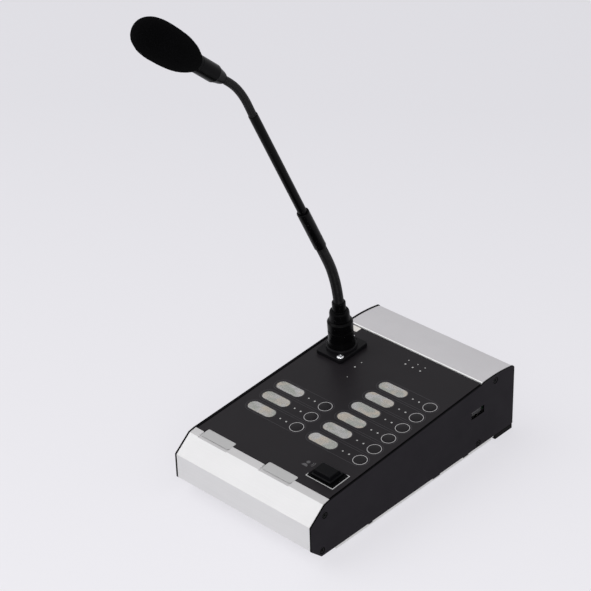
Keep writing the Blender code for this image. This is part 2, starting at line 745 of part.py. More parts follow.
def tray_side_shapes():
    """Floor under the plates, cut-outs over the rear feet and notches for the plates' tabs."""
    floor_end = DEPTH - REAR_FOOT_LENGTH - FLOOR_END_GAP
    floor = boxes(((floor_end - FLOOR_START, TRAY_SHEET, WIDTH - 2 * TRAY_EDGE_INSET),
                   ((floor_end + FLOOR_START) / 2, TRAY_BOTTOM + TRAY_SHEET / 2, 0.0)))
    foot_front = DEPTH - REAR_FOOT_LENGTH - GAP
    foot_inner = WIDTH / 2 - REAR_FOOT_WIDTH - GAP
    foot_low = TRAY_BOTTOM - OVERRUN
    notch_low = GROUND_GAP - TAB_DEPTH - GAP
    notch_inner = INNER_HALF - GAP
    cuts = []
    for side in (-1, 1):
        cuts.append(((DEPTH - foot_front, GROUND_GAP - foot_low, REAR_FOOT_WIDTH + GAP),
                     ((DEPTH + foot_front) / 2, (GROUND_GAP + foot_low) / 2,
                      side * (foot_inner + (REAR_FOOT_WIDTH + GAP) / 2))))
        for share, width in PLATE_TABS:
            cuts.append(((width + 2 * GAP, GROUND_GAP - notch_low, WIDTH / 2 - notch_inner),
                         (share * DEPTH, (GROUND_GAP + notch_low) / 2,
                          side * (WIDTH / 2 + notch_inner) / 2)))
    return floor, boxes(*cuts)


def make_tray(base):
    path = tray_path()
    outline = path + offset_path(path, TRAY_SHEET)[::-1]
    tray = side_section("base_tray", [outline], "zinc_steel", base, -SPAN_HALF, SPAN_HALF)
    floor, side_cuts = tray_side_shapes()
    join(tray, floor)
    length = REAR_WALL_Y - TRAY_FLANGE_END - TRAY_FLANGE_START
    flange = (length, TRAY_FLANGE_HEIGHT, TRAY_SHEET)
    middle = (TRAY_FLANGE_START + length / 2, TRAY_BOTTOM + TRAY_FLANGE_HEIGHT / 2)
    join(tray, boxes(*[(flange, (*middle, side * (SPAN_HALF - TRAY_SHEET / 2))) for side in (-1, 1)]))
    place = side_screw_places()["tray"]
    cut(tray, rods([(place.x, place.y, 0.0)], PORT_BORE, -WIDTH / 2, WIDTH / 2))
    posts = [(y, MAIN_BOARD_TOP - BOARD_THICKNESS - GAP, x) for x, y in standoff_places()]
    post_length = MAIN_BOARD_TOP - BOARD_THICKNESS - GAP - TRAY_BOTTOM - TRAY_SHEET / 2
    join(tray, rods(posts, STANDOFF_RADIUS, -post_length, 0.0, axis=(0.0, 1.0, 0.0), steps=12))
    cut(tray, side_cuts)
    holes = []
    for share in JACK_SHARES:
        x, y, z = jack_centre(share)
        middle_z = z + JACK_PORT_RISE + JACK_PORT_HEIGHT / 2
        holes.append(((2 * TRAY_SHEET + 2 * OVERRUN, JACK_PORT_HEIGHT + 2 * GAP, JACK_PORT_WIDTH + 2 * GAP),
                      (y, middle_z, x)))
    cut(tray, boxes(*holes))
    return tray


def make_feet(base):
    for side, side_name in ((-1, "left"), (1, "right")):
        top = TRAY_BOTTOM - GAP
        profile = [
            (0.0, top), (FOOT_RADIUS, top), (FOOT_RADIUS, FOOT_EDGE), (FOOT_RADIUS - FOOT_EDGE, 0.0),
            (0.0, 0.0),
        ]
        turned(f"foot_front_{side_name}", profile, "rubber", base,
               (side * (SPAN_HALF - 2 * FOOT_RADIUS), FRONT_FOOT_Y, 0.0), steps=20)
        height = GROUND_GAP - GAP
        centre = (side * (WIDTH / 2 - REAR_FOOT_WIDTH / 2), DEPTH - REAR_FOOT_LENGTH / 2, height / 2)
        foot = add_piece(f"foot_rear_{side_name}",
                         boxes(((REAR_FOOT_WIDTH, REAR_FOOT_LENGTH, height), (0.0, 0.0, 0.0))),
                         "rubber", base, centre)
        soften(foot, FOOT_EDGE)


# Key panel

def columns():
    """(window x, key x, rows) of the right and the left column."""
    return ((RIGHT_WINDOW_SHARE * WIDTH, RIGHT_KEY_SHARE * WIDTH, RIGHT_ROWS),
            (LEFT_WINDOW_SHARE * WIDTH, LEFT_KEY_SHARE * WIDTH, LEFT_ROWS))


def key_places():
    places = []
    for _, key_x, rows in columns():
        places += [(key_x, ROW_START + row * ROW_PITCH) for row in range(rows)]
    return places


def strip_end(rows):
    return ROW_START + (rows - 1) * ROW_PITCH + STRIP_TAIL


def talk_hole():
    return (TALK_LENGTH + 2 * BEZEL_COLLAR + 4 * GAP, TALK_WIDTH + 2 * BEZEL_COLLAR + 4 * GAP)


def film_outline():
    """Front edge with two pull notches that have round far corners, then the other three sides."""
    half = INNER_HALF - FILM_MARGIN
    notch = STRIP_WIDTH + 2 * NOTCH_MARGIN
    points = [Vector((half, PLATE_END)), Vector((-half, PLATE_END)), Vector((-half, PLATE_START))]
    end = PLATE_START + NOTCH_LENGTH
    for centre in sorted(window_x for window_x, _, _ in columns()):
        left = centre - notch / 2
        right = centre + notch / 2
        points.append(Vector((left, PLATE_START)))
        points += arc((left + NOTCH_RADIUS, end - NOTCH_RADIUS), NOTCH_RADIUS, 2 * QUARTER, QUARTER, 3)
        points += arc((right - NOTCH_RADIUS, end - NOTCH_RADIUS), NOTCH_RADIUS, QUARTER, 0.0, 3)
        points.append(Vector((right, PLATE_START)))
    points.append(Vector((half, PLATE_START)))
    return points


def panel_holes():
    """Holes that the film and the steel panel share."""
    holes = [circle(KEY_RADIUS + GAP, place, steps=12) for place in key_places()]
    holes.append(rectangle(*talk_hole(), centre=(TALK_SHARE * WIDTH, TALK_START)))
    holes.append(circle(PANEL_HOLE, (SOCKET_X, SOCKET_S), steps=24))
    holes += [circle(SOCKET_SCREW_RADIUS + GAP, (SOCKET_X + x, SOCKET_S + s), steps=8)
              for x, s in socket_screw_places()]
    return holes


def make_film(panel):
    windows = []
    for window_x, _, rows in columns():
        for row in range(rows):
            centre = (window_x, ROW_START + row * ROW_PITCH)
            windows.append(rectangle(WINDOW_LENGTH, WINDOW_WIDTH, centre, WINDOW_CORNER, 3))
    film = add_piece("panel_film", slab([film_outline()] + panel_holes() + windows, FILM_THICKNESS,
                                        -FILM_THICKNESS), "printed_film", panel)
    pockets = []
    for window_x, _, rows in columns():
        start = PLATE_START - OVERRUN
        end = strip_end(rows) + GAP
        pocket_top = -FILM_SKIN
        pocket_low = -FILM_THICKNESS - OVERRUN
        pockets.append(((STRIP_WIDTH + 2 * GAP, end - start, pocket_top - pocket_low),
                        (window_x, (start + end) / 2, (pocket_top + pocket_low) / 2)))
    cut(film, boxes(*pockets))
    return film


def make_label_strips(panel):
    for name, (window_x, _, rows) in zip(("label_strip_right", "label_strip_left"), columns()):
        length = strip_end(rows) - STRIP_START
        loop = rectangle(STRIP_WIDTH, length, (0.0, length / 2), NOTCH_RADIUS, 3)
        add_piece(name, slab([loop], STRIP_THICKNESS, STRIP_TOP - STRIP_THICKNESS), "label_card", panel,
                  (window_x, STRIP_START, 0.0))


def board_edges():
    low_x = KEY_BOARD_LEFT_SHARE * WIDTH
    high_x = KEY_BOARD_RIGHT_SHARE * WIDTH
    high_s = ROW_START + (RIGHT_ROWS - 1) * ROW_PITCH + KEY_BOARD_MARGIN
    return low_x, high_x, KEY_BOARD_START, high_s


def stud_places():
    low_x, high_x, low_s, high_s = board_edges()
    inset = 2 * STUD_RADIUS
    front = TALK_START + talk_hole()[1] / 2 + TALK_FLANGE + inset
    return [(x, s) for x in (low_x + inset, high_x - inset / 2) for s in (front, high_s - inset / 2)]


def make_steel_panel(panel):
    outline = rectangle(2 * SPAN_HALF, PLATE_END - PLATE_START, (0.0, (PLATE_START + PLATE_END) / 2))
    steel = add_piece("key_panel", slab([outline] + panel_holes(), PANEL_THICKNESS, STEEL_BOTTOM),
                      "black_paint", panel)
    places = [(x, s, 0.0) for x, s in stud_places()]
    stud_top = STEEL_BOTTOM + PANEL_THICKNESS / 2
    join(steel, rods(places, STUD_RADIUS, -KEY_BOARD_DROP + GAP, stud_top, steps=12))
    return steel


def make_keys(panel):
    flange_top = STEEL_BOTTOM - GAP
    stem_top = flange_top - KEY_FLANGE_THICKNESS
    stem_end = stem_top - KEY_STEM_LENGTH
    profile = [
        (0.0, KEY_RISE), (KEY_RADIUS * KEY_CROWN_SHARE, KEY_RISE - KEY_CROWN / 4),
        (KEY_RADIUS, KEY_RISE - KEY_CROWN),
        (KEY_RADIUS, flange_top), (KEY_FLANGE, flange_top), (KEY_FLANGE, stem_top),
        (KEY_STEM_RADIUS, stem_top), (KEY_STEM_RADIUS, stem_end), (0.0, stem_end),
    ]
    for number, (x, s) in enumerate(key_places(), start=1):
        turned(f"zone_key_{number}", profile, "black_plastic", panel, (x, s, 0.0), steps=12)


def frustum(bottom, top, low, high):
    """A four-sided block that narrows from the bottom size to the top size."""
    bm = bmesh.new()
    made = bmesh.ops.create_cone(bm, cap_ends=True, segments=4, radius1=math.sqrt(0.5),
                                 radius2=math.sqrt(0.5) * top[0] / bottom[0], depth=1.0)["verts"]
    bmesh.ops.rotate(bm, matrix=Matrix.Rotation(math.radians(45), 3, "Z"), verts=made)
    bmesh.ops.scale(bm, vec=(bottom[0], bottom[1], high - low), verts=made)
    bmesh.ops.translate(bm, vec=(0.0, 0.0, (low + high) / 2), verts=made)
    return finished_mesh(bm)


def make_talk_key(panel):
    place = (TALK_SHARE * WIDTH, TALK_START, 0.0)
    bezel_size = (TALK_LENGTH + 2 * BEZEL_BORDER, TALK_WIDTH + 2 * BEZEL_BORDER)
    inner = rectangle(TALK_LENGTH + 2 * GAP, TALK_WIDTH + 2 * GAP)
    bezel = add_piece("talk_key_bezel", slab([rectangle(*bezel_size, corner=BEZEL_CORNER), inner],
                                             BEZEL_HEIGHT - GAP, GAP), "black_plastic", panel, place)
    wall = 2 * (GAP + BEZEL_COLLAR)
    collar = rectangle(TALK_LENGTH + wall, TALK_WIDTH + wall)
    collar_low = STEEL_BOTTOM + GAP
    join(bezel, slab([collar, inner], BEZEL_HEIGHT - GAP - collar_low, collar_low))
    flange_top = STEEL_BOTTOM - GAP
    skirt_low = flange_top - TALK_FLANGE / 2
    skirt = (TALK_LENGTH, TALK_WIDTH, TALK_SHOULDER - skirt_low)
    middle = (0.0, 0.0, (TALK_SHOULDER + skirt_low) / 2)
    key = add_piece("talk_key", boxes((skirt, middle)), "black_plastic", panel, place)
    soften(key, TALK_EDGE, 2)
    pad_low = TALK_SHOULDER - OVERRUN
    pad = (TALK_LENGTH * TALK_PAD_SHARE, TALK_WIDTH * TALK_PAD_SHARE)
    pad_foot = (pad[0] / TALK_DRAFT_SHARE, pad[1] / TALK_DRAFT_SHARE)
    join(key, frustum(pad_foot, pad, pad_low, TALK_HEIGHT))
    ledge = (talk_hole()[0] + 2 * TALK_FLANGE, talk_hole()[1] + 2 * TALK_FLANGE, TALK_FLANGE)
    join(key, boxes((ledge, (0.0, 0.0, flange_top - TALK_FLANGE / 2))))


def make_key_board(panel):
    low_x, high_x, low_s, high_s = board_edges()
    top = -KEY_BOARD_DROP
    board = add_piece("key_board", slab([rectangle(high_x - low_x, high_s - low_s,
                                                   ((low_x + high_x) / 2, (low_s + high_s) / 2))],
                                        BOARD_THICKNESS, top - BOARD_THICKNESS), "board_green", panel)
    sunk = BOARD_THICKNESS / 2
    body = (SWITCH_SIZE, SWITCH_SIZE, SWITCH_HEIGHT + sunk)
    join(board, boxes(*[(body, (x, s, top + (SWITCH_HEIGHT - sunk) / 2)) for x, s in key_places()]))
    stem_end = STEEL_BOTTOM - GAP - KEY_FLANGE_THICKNESS - KEY_STEM_LENGTH
    plunger_top = stem_end - KEY_TRAVEL - GAP / 2
    join(board, rods([(x, s, 0.0) for x, s in key_places()], SWITCH_PLUNGER, top, plunger_top, steps=10))
    key_bottom = STEEL_BOTTOM - GAP - TALK_FLANGE
    switch_top = key_bottom - TALK_TRAVEL - GAP
    height = switch_top - top + sunk
    join(board, boxes(((TALK_SWITCH_SIZE, TALK_SWITCH_SIZE, height),
                       (TALK_SHARE * WIDTH, TALK_START, switch_top - height / 2))))
    return board


# Microphone socket

def make_socket(panel):
    place = (SOCKET_X, SOCKET_S, 0.0)
    outline = rectangle(FLANGE_WIDTH, FLANGE_LENGTH, corner=FLANGE_CORNER)
    wall_middle = (SHELL_BORE + SHELL_RADIUS) / 2
    flange = slab([outline, circle(wall_middle, steps=24)], FLANGE_TOP - GAP, GAP)
    socket = add_piece("mic_socket", flange, "black_metal", panel, place)
    rim_low = FLANGE_TOP - GAP
    join(socket, ring_mesh([
        (SHELL_BORE, RIM_TOP), (RIM_RADIUS - RIM_CHAMFER, RIM_TOP), (RIM_RADIUS, RIM_TOP - RIM_CHAMFER),
        (RIM_RADIUS, rim_low), (SHELL_RADIUS, rim_low), (SHELL_RADIUS, -SHELL_DEPTH),
        (SHELL_BORE, -SHELL_DEPTH),
    ]))
    arm = SHELL_BORE + GAP + LATCH_THICKNESS / 2
    tab = PLUG_FOOT + GAP + LATCH_THICKNESS / 2
    outer_face = tab + LATCH_THICKNESS / 2
    slot_low = SHELL_BORE - GAP
    slot_high = outer_face + GAP
    slot_floor = -LATCH_DEPTH - LATCH_TRAVEL - GAP
    slot_top = RIM_TOP + OVERRUN
    cut(socket, boxes(((LATCH_WIDTH + 2 * GAP, slot_high - slot_low, slot_top - slot_floor),
                       (0.0, (slot_low + slot_high) / 2, (slot_top + slot_floor) / 2))))
    cut(socket, rods([(x, s, 0.0) for x, s in socket_screw_places()], SOCKET_SCREW_RADIUS + GAP, 0.0,
                     FLANGE_TOP + OVERRUN, steps=12))
    step_low = LATCH_TRAVEL + GAP
    step_top = step_low + LATCH_STEP
    arm_size = (LATCH_WIDTH, LATCH_THICKNESS, step_top + LATCH_DEPTH)
    arm_middle = (0.0, arm, (step_top - LATCH_DEPTH) / 2)
    latch = add_piece("socket_latch", boxes((arm_size, arm_middle)), "nickel", panel, place)
    arm_face = arm - LATCH_THICKNESS / 2 + GAP
    join(latch, boxes(((LATCH_WIDTH - GAP, outer_face - arm_face, LATCH_STEP),
                       (0.0, (outer_face + arm_face) / 2, (step_low + step_top) / 2))))
    join(latch, boxes(((LATCH_WIDTH - 2 * GAP, LATCH_THICKNESS - GAP, LATCH_TOP - step_low - GAP),
                       (0.0, tab, (LATCH_TOP + step_low + GAP) / 2))))
    core = [
        (0.0, CORE_TOP), (SOCKET_CORE, CORE_TOP), (SOCKET_CORE, -CORE_STEP),
        (SHELL_BORE - GAP, -CORE_STEP), (SHELL_BORE - GAP, -SHELL_DEPTH), (0.0, -SHELL_DEPTH),
    ]
    insert = turned("socket_insert", core, "black_plastic", panel, place, steps=24)
    cut(insert, rods(pin_places(), PIN_RADIUS + GAP, -PIN_LENGTH, CORE_TOP + OVERRUN, steps=10))
    for name, (x, s) in zip(("socket_screw_front", "socket_screw_rear"), socket_screw_places()):
        dome = SOCKET_SCREW_DOME
        head = [(0.0, dome), (SOCKET_SCREW_HEAD - dome / 2, dome), (SOCKET_SCREW_HEAD, dome / 2),
                (SOCKET_SCREW_HEAD, 0.0), (SOCKET_SCREW_RADIUS, 0.0),
                (SOCKET_SCREW_RADIUS, -SOCKET_SCREW_LENGTH), (0.0, -SOCKET_SCREW_LENGTH)]
        turned(name, head, "nickel", panel, (SOCKET_X + x, SOCKET_S + s, FLANGE_TOP + GAP / 2), steps=14)


def socket_screw_places():
    """Two flange screws on a diagonal, from the socket's axis."""
    return [(SOCKET_SCREW_X, -SOCKET_SCREW_S), (-SOCKET_SCREW_X, SOCKET_SCREW_S)]


def pin_places():
    """Contacts of a three-pin plug: two at the sides and one towards the user."""
    places = []
    for number in range(PIN_COUNT):
        angle = -QUARTER + (number - 1) * PIN_SPREAD
        places.append((PIN_CIRCLE * math.cos(angle), PIN_CIRCLE * math.sin(angle), 0.0))
    return places


# Gooseneck microphone

def rib_zigzag(radius, top, low):
    """Ribbed outer side from top to low: crests at the radius, valleys one rib depth in."""
    count = max(1, round((top - low) / RIB_PITCH))
    pitch = (top - low) / count
    points = []
    for i in range(count):
        points.append((radius, top - i * pitch))
        points.append((radius - RIB_DEPTH, top - (i + 0.5) * pitch))
    points.append((radius, low))
    return points


def ball_face(ball_radius, centre_z, inner, outer, steps=2):
    """Spherical end face from its inner radius to its outer radius."""
    radii = [inner + (outer - inner) * i / steps for i in range(steps + 1)]
    return [(radius, centre_z + math.sqrt(ball_radius ** 2 - radius ** 2)) for radius in radii]


def neck_section(name, neck, parent, location, lean, cup, dome, tail):
    """A section of flexible neck along +Z from its pivot at the origin.

    cup is whether its lower end rides on the ball face below it; dome is the height of the
    next pivot, or None; tail is the depth of the plain stub at an end that sits in a socket.
    """
    radius, ball, bore = neck
    stub = radius - RIB_DEPTH
    if dome is None:
        top = [(bore, tail[1]), (stub, tail[1]), (stub, tail[0])]
        rib_top = tail[0]
    else:
        top = ball_face(ball, dome, bore, radius)[:-1]
        rib_top = ball_face(ball, dome, radius, radius, 1)[0][1]
    if cup:
        low = ball_face(ball + GAP, 0.0, bore, radius)[::-1][1:]
        rib_low = ball_face(ball + GAP, 0.0, radius, radius, 1)[0][1]
    else:
        low = [(stub, tail[0]), (stub, tail[1]), (bore, tail[1])]
        rib_low = tail[0]
    profile = top + rib_zigzag(radius, rib_top, rib_low) + low
    return turned(name, profile, "black_metal", parent, location, (lean, 0.0, 0.0), steps=12, closed=True)


def make_plug(panel):
    foot = RIM_TOP + GAP
    roof = PLUG_CAVITY
    wave = PLUG_RADIUS - PLUG_GROOVE
    profile = [
        (PLUG_BORE, PLUG_TOP), (PLUG_RADIUS - 4 * wave, PLUG_TOP), (PLUG_RADIUS - wave, PLUG_TOP - wave),
        (PLUG_RADIUS, PLUG_TOP - 3 * wave), (PLUG_RADIUS, GROOVE_HEIGHT + 2 * wave),
        (PLUG_GROOVE, GROOVE_HEIGHT + wave), (PLUG_GROOVE, GROOVE_HEIGHT - wave),
        (PLUG_RADIUS, GROOVE_HEIGHT - 2 * wave),
        (PLUG_RADIUS, PLUG_FLARE_TOP), (PLUG_FOOT, foot + 2 * wave), (PLUG_FOOT - wave, foot),
        (SLEEVE_RADIUS, foot), (SLEEVE_RADIUS, -SLEEVE_DEPTH), (SLEEVE_BORE, -SLEEVE_DEPTH),
        (SLEEVE_BORE, roof), (PLUG_BORE, roof),
    ]
    shell = turned("plug_shell", profile, "black_metal", panel, (SOCKET_X, SOCKET_S, 0.0), closed=True)
    carrier_low = CORE_TOP + 2 * GAP
    carrier = [(0.0, roof - GAP), (SLEEVE_BORE - GAP, roof - GAP), (SLEEVE_BORE - GAP, carrier_low),
               (0.0, carrier_low)]
    insert = turned("plug_insert", carrier, "black_plastic", shell, steps=20)
    join(insert, rods(pin_places(), PIN_RADIUS, -PIN_LENGTH + 2 * GAP, carrier_low + GAP, steps=10))
    low = PLUG_TOP - COLLET_NECK
    step = PLUG_TOP + GAP
    bevel = wave * 1.5
    collet_profile = [
        (LOWER_RADIUS, FERRULE_TOP), (FERRULE_RADIUS - bevel, FERRULE_TOP),
        (FERRULE_RADIUS, FERRULE_TOP - bevel), (FERRULE_RADIUS, COLLET_TOP),
        (COLLET_RADIUS - 3 * bevel, COLLET_TOP), (COLLET_RADIUS - bevel, COLLET_TOP - bevel),
        (COLLET_RADIUS - bevel / 2, COLLET_TOP - 3 * bevel), (COLLET_RADIUS - bevel / 2, step + 3 * bevel),
        (COLLET_RADIUS, step + 2 * bevel), (COLLET_RADIUS, step), (PLUG_BORE - GAP, step),
        (PLUG_BORE - GAP, low), (LOWER_RADIUS, low),
    ]
    turned("plug_collet", collet_profile, "black_metal", shell, steps=20, closed=True)
    return shell


def make_neck(prefix, neck, root, root_height, root_lean, first_pivot, pitch, leans, insert, tail):
    """Five sections of flexible neck on four pivots; returns the last section and its lean."""
    section = neck_section(f"{prefix}_0", neck, root, (0.0, 0.0, root_height), 0.0, False, first_pivot,
                           (GAP, -insert))
    height = first_pivot
    lean = root_lean
    for number, next_lean in enumerate(leans, start=1):
        last = number == len(leans)
        dome = None if last else pitch
        section = neck_section(f"{prefix}_{number}", neck, section, (0.0, 0.0, height), next_lean - lean,
                               True, dome, (tail - GAP, tail + insert))
        height = pitch
        lean = next_lean
    return section, lean


def make_stem(section):
    low = LOWER_TAIL
    high = low + SLEEVE_TUBE_LENGTH
    flex_end = low + LOWER_INSERT + GAP
    stem_low = high - STEM_INSERT
    edge = SLEEVE_TUBE_EDGE
    sleeve_profile = [
        (STEM_RADIUS + GAP, high), (SLEEVE_TUBE_RADIUS - edge, high), (SLEEVE_TUBE_RADIUS, high - edge),
        (SLEEVE_TUBE_RADIUS, low + edge), (SLEEVE_TUBE_RADIUS - edge / 2, low), (LOWER_RADIUS, low),
        (LOWER_RADIUS, flex_end), (STEM_BORE, flex_end), (STEM_BORE, stem_low - GAP),
        (STEM_RADIUS + GAP, stem_low - GAP),
    ]
    sleeve = turned("neck_sleeve", sleeve_profile, "black_metal", section, steps=20, closed=True)
    top = low + STEM_REACH
    mouth = UPPER_RADIUS - RIB_DEPTH + GAP / 2
    mouth_end = top - UPPER_INSERT - GAP
    stem_profile = [(mouth, top), (STEM_RADIUS - GAP, top), (STEM_RADIUS, top - GAP),
                    (STEM_RADIUS, stem_low), (STEM_BORE, stem_low), (STEM_BORE, mouth_end),
                    (mouth, mouth_end)]
    stem = turned("stem_tube", stem_profile, "black_metal", sleeve, steps=20, closed=True)
    return stem, top


def make_head(section):
    neck_low = UPPER_TAIL
    taper_low = neck_low + NECK_LENGTH
    grip_low = taper_low + NECK_TAPER
    foam_low = grip_low + HOUSING_GRIP
    top = foam_low + HOUSING_IN_FOAM
    seat = top - CAPSULE_SEAT
    bore = HOUSING_RADIUS - HOUSING_WALL
    edge = SLEEVE_TUBE_EDGE / 2
    housing_profile = [
        (bore, top), (HOUSING_RADIUS - edge, top), (HOUSING_RADIUS, top - edge),
        (HOUSING_RADIUS, grip_low + edge), (HOUSING_RADIUS - edge, grip_low),
        (NECK_RADIUS + edge, taper_low), (NECK_RADIUS, taper_low - edge),
        (NECK_RADIUS, neck_low + edge), (NECK_RADIUS - edge, neck_low),
        (UPPER_RADIUS, neck_low), (UPPER_RADIUS, neck_low + UPPER_INSERT + GAP),
        (UPPER_BORE, neck_low + UPPER_INSERT + GAP), (UPPER_BORE, seat), (bore, seat),
    ]
    housing = turned("capsule_housing", housing_profile, "black_metal", section, steps=20, closed=True)
    capsule = [(0.0, seat + GAP + CAPSULE_LENGTH), (bore - GAP, seat + GAP + CAPSULE_LENGTH),
               (bore - GAP, seat + GAP), (0.0, seat + GAP)]
    turned("mic_capsule", capsule, "nickel", housing, steps=20)
    tip = foam_low + FOAM_LENGTH
    mouth = HOUSING_RADIUS + GAP
    foam_profile = [(0.0, tip)]
    foam_profile += [(FOAM_RADIUS * wide, tip - FOAM_LENGTH * far) for far, wide in FOAM_SHARES]
    foam_profile += [(mouth + FOAM_MOUTH, foam_low), (mouth, foam_low + FOAM_MOUTH / 2), (mouth, top + GAP),
                     (0.0, top + GAP)]
    turned("foam_windscreen", foam_profile, "foam", housing, steps=28)
    return housing


# Electronics

def make_main_board(base):
    start = MAIN_BOARD_START
    end = REAR_WALL_Y - TRAY_SHEET - MAIN_BOARD_MARGIN
    width = 2 * (SPAN_HALF - TRAY_SHEET - MAIN_BOARD_MARGIN / 2)
    outline = rectangle(width, end - start, (0.0, (start + end) / 2))
    board = add_piece("main_board", slab([outline], BOARD_THICKNESS, MAIN_BOARD_TOP - BOARD_THICKNESS),
                      "board_green", base)
    chips = (((CHIP_SIDE, CHIP_SIDE), CHIP_SPACING / 2), ((CHIP_WIDTH, CHIP_LENGTH), -CHIP_SPACING / 2))
    join(board, boxes(*[((*size, 2 * CHIP_HEIGHT), (x, start + CHIP_SETBACK, MAIN_BOARD_TOP))
                        for size, x in chips]))
    return board


def make_connectors(base):
    for name, share in zip(("link_socket_in", "link_socket_out"), JACK_SHARES):
        x, y, z = jack_centre(share)
        body_y = y - TRAY_SHEET
        jack = add_piece(name, boxes(((JACK_WIDTH, JACK_LENGTH, JACK_HEIGHT),
                                      (0.0, -JACK_LENGTH / 2, JACK_HEIGHT / 2))), "black_plastic", base,
                         (x, body_y, z))
        cut(jack, boxes(((JACK_PORT_WIDTH, JACK_PORT_DEPTH + OVERRUN, JACK_PORT_HEIGHT),
                         (0.0, (OVERRUN - JACK_PORT_DEPTH) / 2, JACK_PORT_RISE + JACK_PORT_HEIGHT / 2))))
    place = header_centre()
    header = add_piece("side_header", boxes(((HEADER_BODY, HEADER_LENGTH - 2 * GAP, HEADER_HEIGHT - 2 * GAP),
                                             (-HEADER_BODY / 2, 0.0, 0.0))), "black_plastic", base,
                       (WIDTH / 2 - HEADER_RECESS, place.x, place.y))
    holes = []
    for column in range(HEADER_COLUMNS):
        for row in range(HEADER_ROWS):
            y = (column - (HEADER_COLUMNS - 1) / 2) * HEADER_PITCH
            z = (row - (HEADER_ROWS - 1) / 2) * HEADER_PITCH
            holes.append(((2 * HEADER_HOLE_DEPTH, HEADER_HOLE, HEADER_HOLE), (0.0, y, z)))
    cut(header, boxes(*holes))


def front_reach(housing_tip, lean):
    """How far in front of y = 0 the foam's roundest point reaches."""
    along = Vector((-math.sin(lean), math.cos(lean)))
    nearest = 0.0
    for far, wide in FOAM_SHARES:
        centre = housing_tip - along * FOAM_LENGTH * far
        nearest = min(nearest, centre.x - FOAM_RADIUS * wide * math.cos(lean))
    return nearest


def neck_tip():
    """Side view of the foam's tip, followed along the plug, both necks, the stem and the head."""
    place = panel_point(SOCKET_S, FERRULE_TOP)
    stretches = [(PANEL_TILT, LOWER_FIRST_PIVOT)]
    stretches += [(lean, LOWER_PITCH) for lean in LOWER_LEANS[:-1]]
    stretches += [(LOWER_LEANS[-1], LOWER_TAIL + STEM_REACH + UPPER_FIRST_PIVOT)]
    stretches += [(lean, UPPER_PITCH) for lean in UPPER_LEANS[:-1]]
    head = UPPER_TAIL + NECK_LENGTH + NECK_TAPER + HOUSING_GRIP + FOAM_LENGTH
    stretches += [(UPPER_LEANS[-1], head)]
    for lean, length in stretches:
        place = place + Vector((-math.sin(lean), math.cos(lean))) * length
    return place


def build():
    middle = (front_reach(neck_tip(), UPPER_LEANS[-1]) + DEPTH) / 2
    base = add_empty("desk_datum", None, (0.0, -middle, 0.0))
    panel = add_empty("panel_datum", base, (0.0, SLOPE_START.x, SLOPE_START.y), (PANEL_TILT, 0.0, 0.0))
    make_side_plates(base)
    make_side_screws(base)
    make_front_rail(base)
    make_rear_cap(base)
    make_tray(base)
    make_feet(base)
    make_film(panel)
    make_label_strips(panel)
    make_steel_panel(panel)
    make_keys(panel)
    make_talk_key(panel)
    make_key_board(panel)
    make_socket(panel)
    make_main_board(base)
    make_connectors(base)
    shell = make_plug(panel)
    lower = (LOWER_RADIUS, LOWER_DOME, LOWER_BORE)
    section, lean = make_neck("lower_neck", lower, shell, FERRULE_TOP, PANEL_TILT, LOWER_FIRST_PIVOT,
                              LOWER_PITCH, LOWER_LEANS, LOWER_INSERT, LOWER_TAIL)
    stem, stem_top = make_stem(section)
    upper = (UPPER_RADIUS, UPPER_DOME, UPPER_BORE)
    section, _ = make_neck("upper_neck", upper, stem, stem_top, lean, UPPER_FIRST_PIVOT,
                           UPPER_PITCH, UPPER_LEANS, UPPER_INSERT, UPPER_TAIL)
    make_head(section)
    bpy.context.view_layer.update()


build()
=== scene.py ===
# Desk paging microphone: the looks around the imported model.
# Metres, +Z up, +Y from the user to the back. The key panel has its own frame:
# x across, s up the slope from the panel's front edge, h square to the printed face.

import json
import math

import bpy
from mathutils import Matrix, Vector


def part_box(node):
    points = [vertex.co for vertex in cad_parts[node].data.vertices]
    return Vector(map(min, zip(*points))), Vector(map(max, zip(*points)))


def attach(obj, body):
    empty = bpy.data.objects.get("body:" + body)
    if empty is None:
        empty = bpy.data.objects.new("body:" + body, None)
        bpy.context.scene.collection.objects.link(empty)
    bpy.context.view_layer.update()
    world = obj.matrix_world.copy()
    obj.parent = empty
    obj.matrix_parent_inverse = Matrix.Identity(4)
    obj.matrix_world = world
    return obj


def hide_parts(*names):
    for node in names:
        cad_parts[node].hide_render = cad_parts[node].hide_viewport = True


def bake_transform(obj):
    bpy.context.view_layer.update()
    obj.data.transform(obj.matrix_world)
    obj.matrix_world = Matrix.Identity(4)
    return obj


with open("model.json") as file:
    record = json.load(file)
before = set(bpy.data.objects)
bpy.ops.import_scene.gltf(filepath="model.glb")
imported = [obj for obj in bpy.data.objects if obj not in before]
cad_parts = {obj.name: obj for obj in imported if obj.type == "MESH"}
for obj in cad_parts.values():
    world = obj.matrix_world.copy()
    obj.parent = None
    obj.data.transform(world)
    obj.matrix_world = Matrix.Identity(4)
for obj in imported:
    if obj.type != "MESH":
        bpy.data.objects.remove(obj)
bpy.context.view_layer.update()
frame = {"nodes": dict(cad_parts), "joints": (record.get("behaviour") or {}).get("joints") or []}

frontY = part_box("side_plate_right")[0].y
tiny = 1e-6
faceWeight = 80                 # how far a broad face outweighs its broken edges
through = 0.01                  # how far a cutter reaches past the face it cuts


# Working helpers

def letGo():
    # back to object mode with nothing selected
    if bpy.context.object and bpy.context.object.mode != "OBJECT":
        bpy.ops.object.mode_set(mode="OBJECT")
    bpy.ops.object.select_all(action="DESELECT")


def takeUp(piece):
    letGo()
    piece.select_set(True)
    bpy.context.view_layer.objects.active = piece


def editAll(piece):
    takeUp(piece)
    bpy.ops.object.mode_set(mode="EDIT")
    bpy.ops.mesh.select_mode(type="VERT")
    bpy.ops.mesh.select_all(action="SELECT")


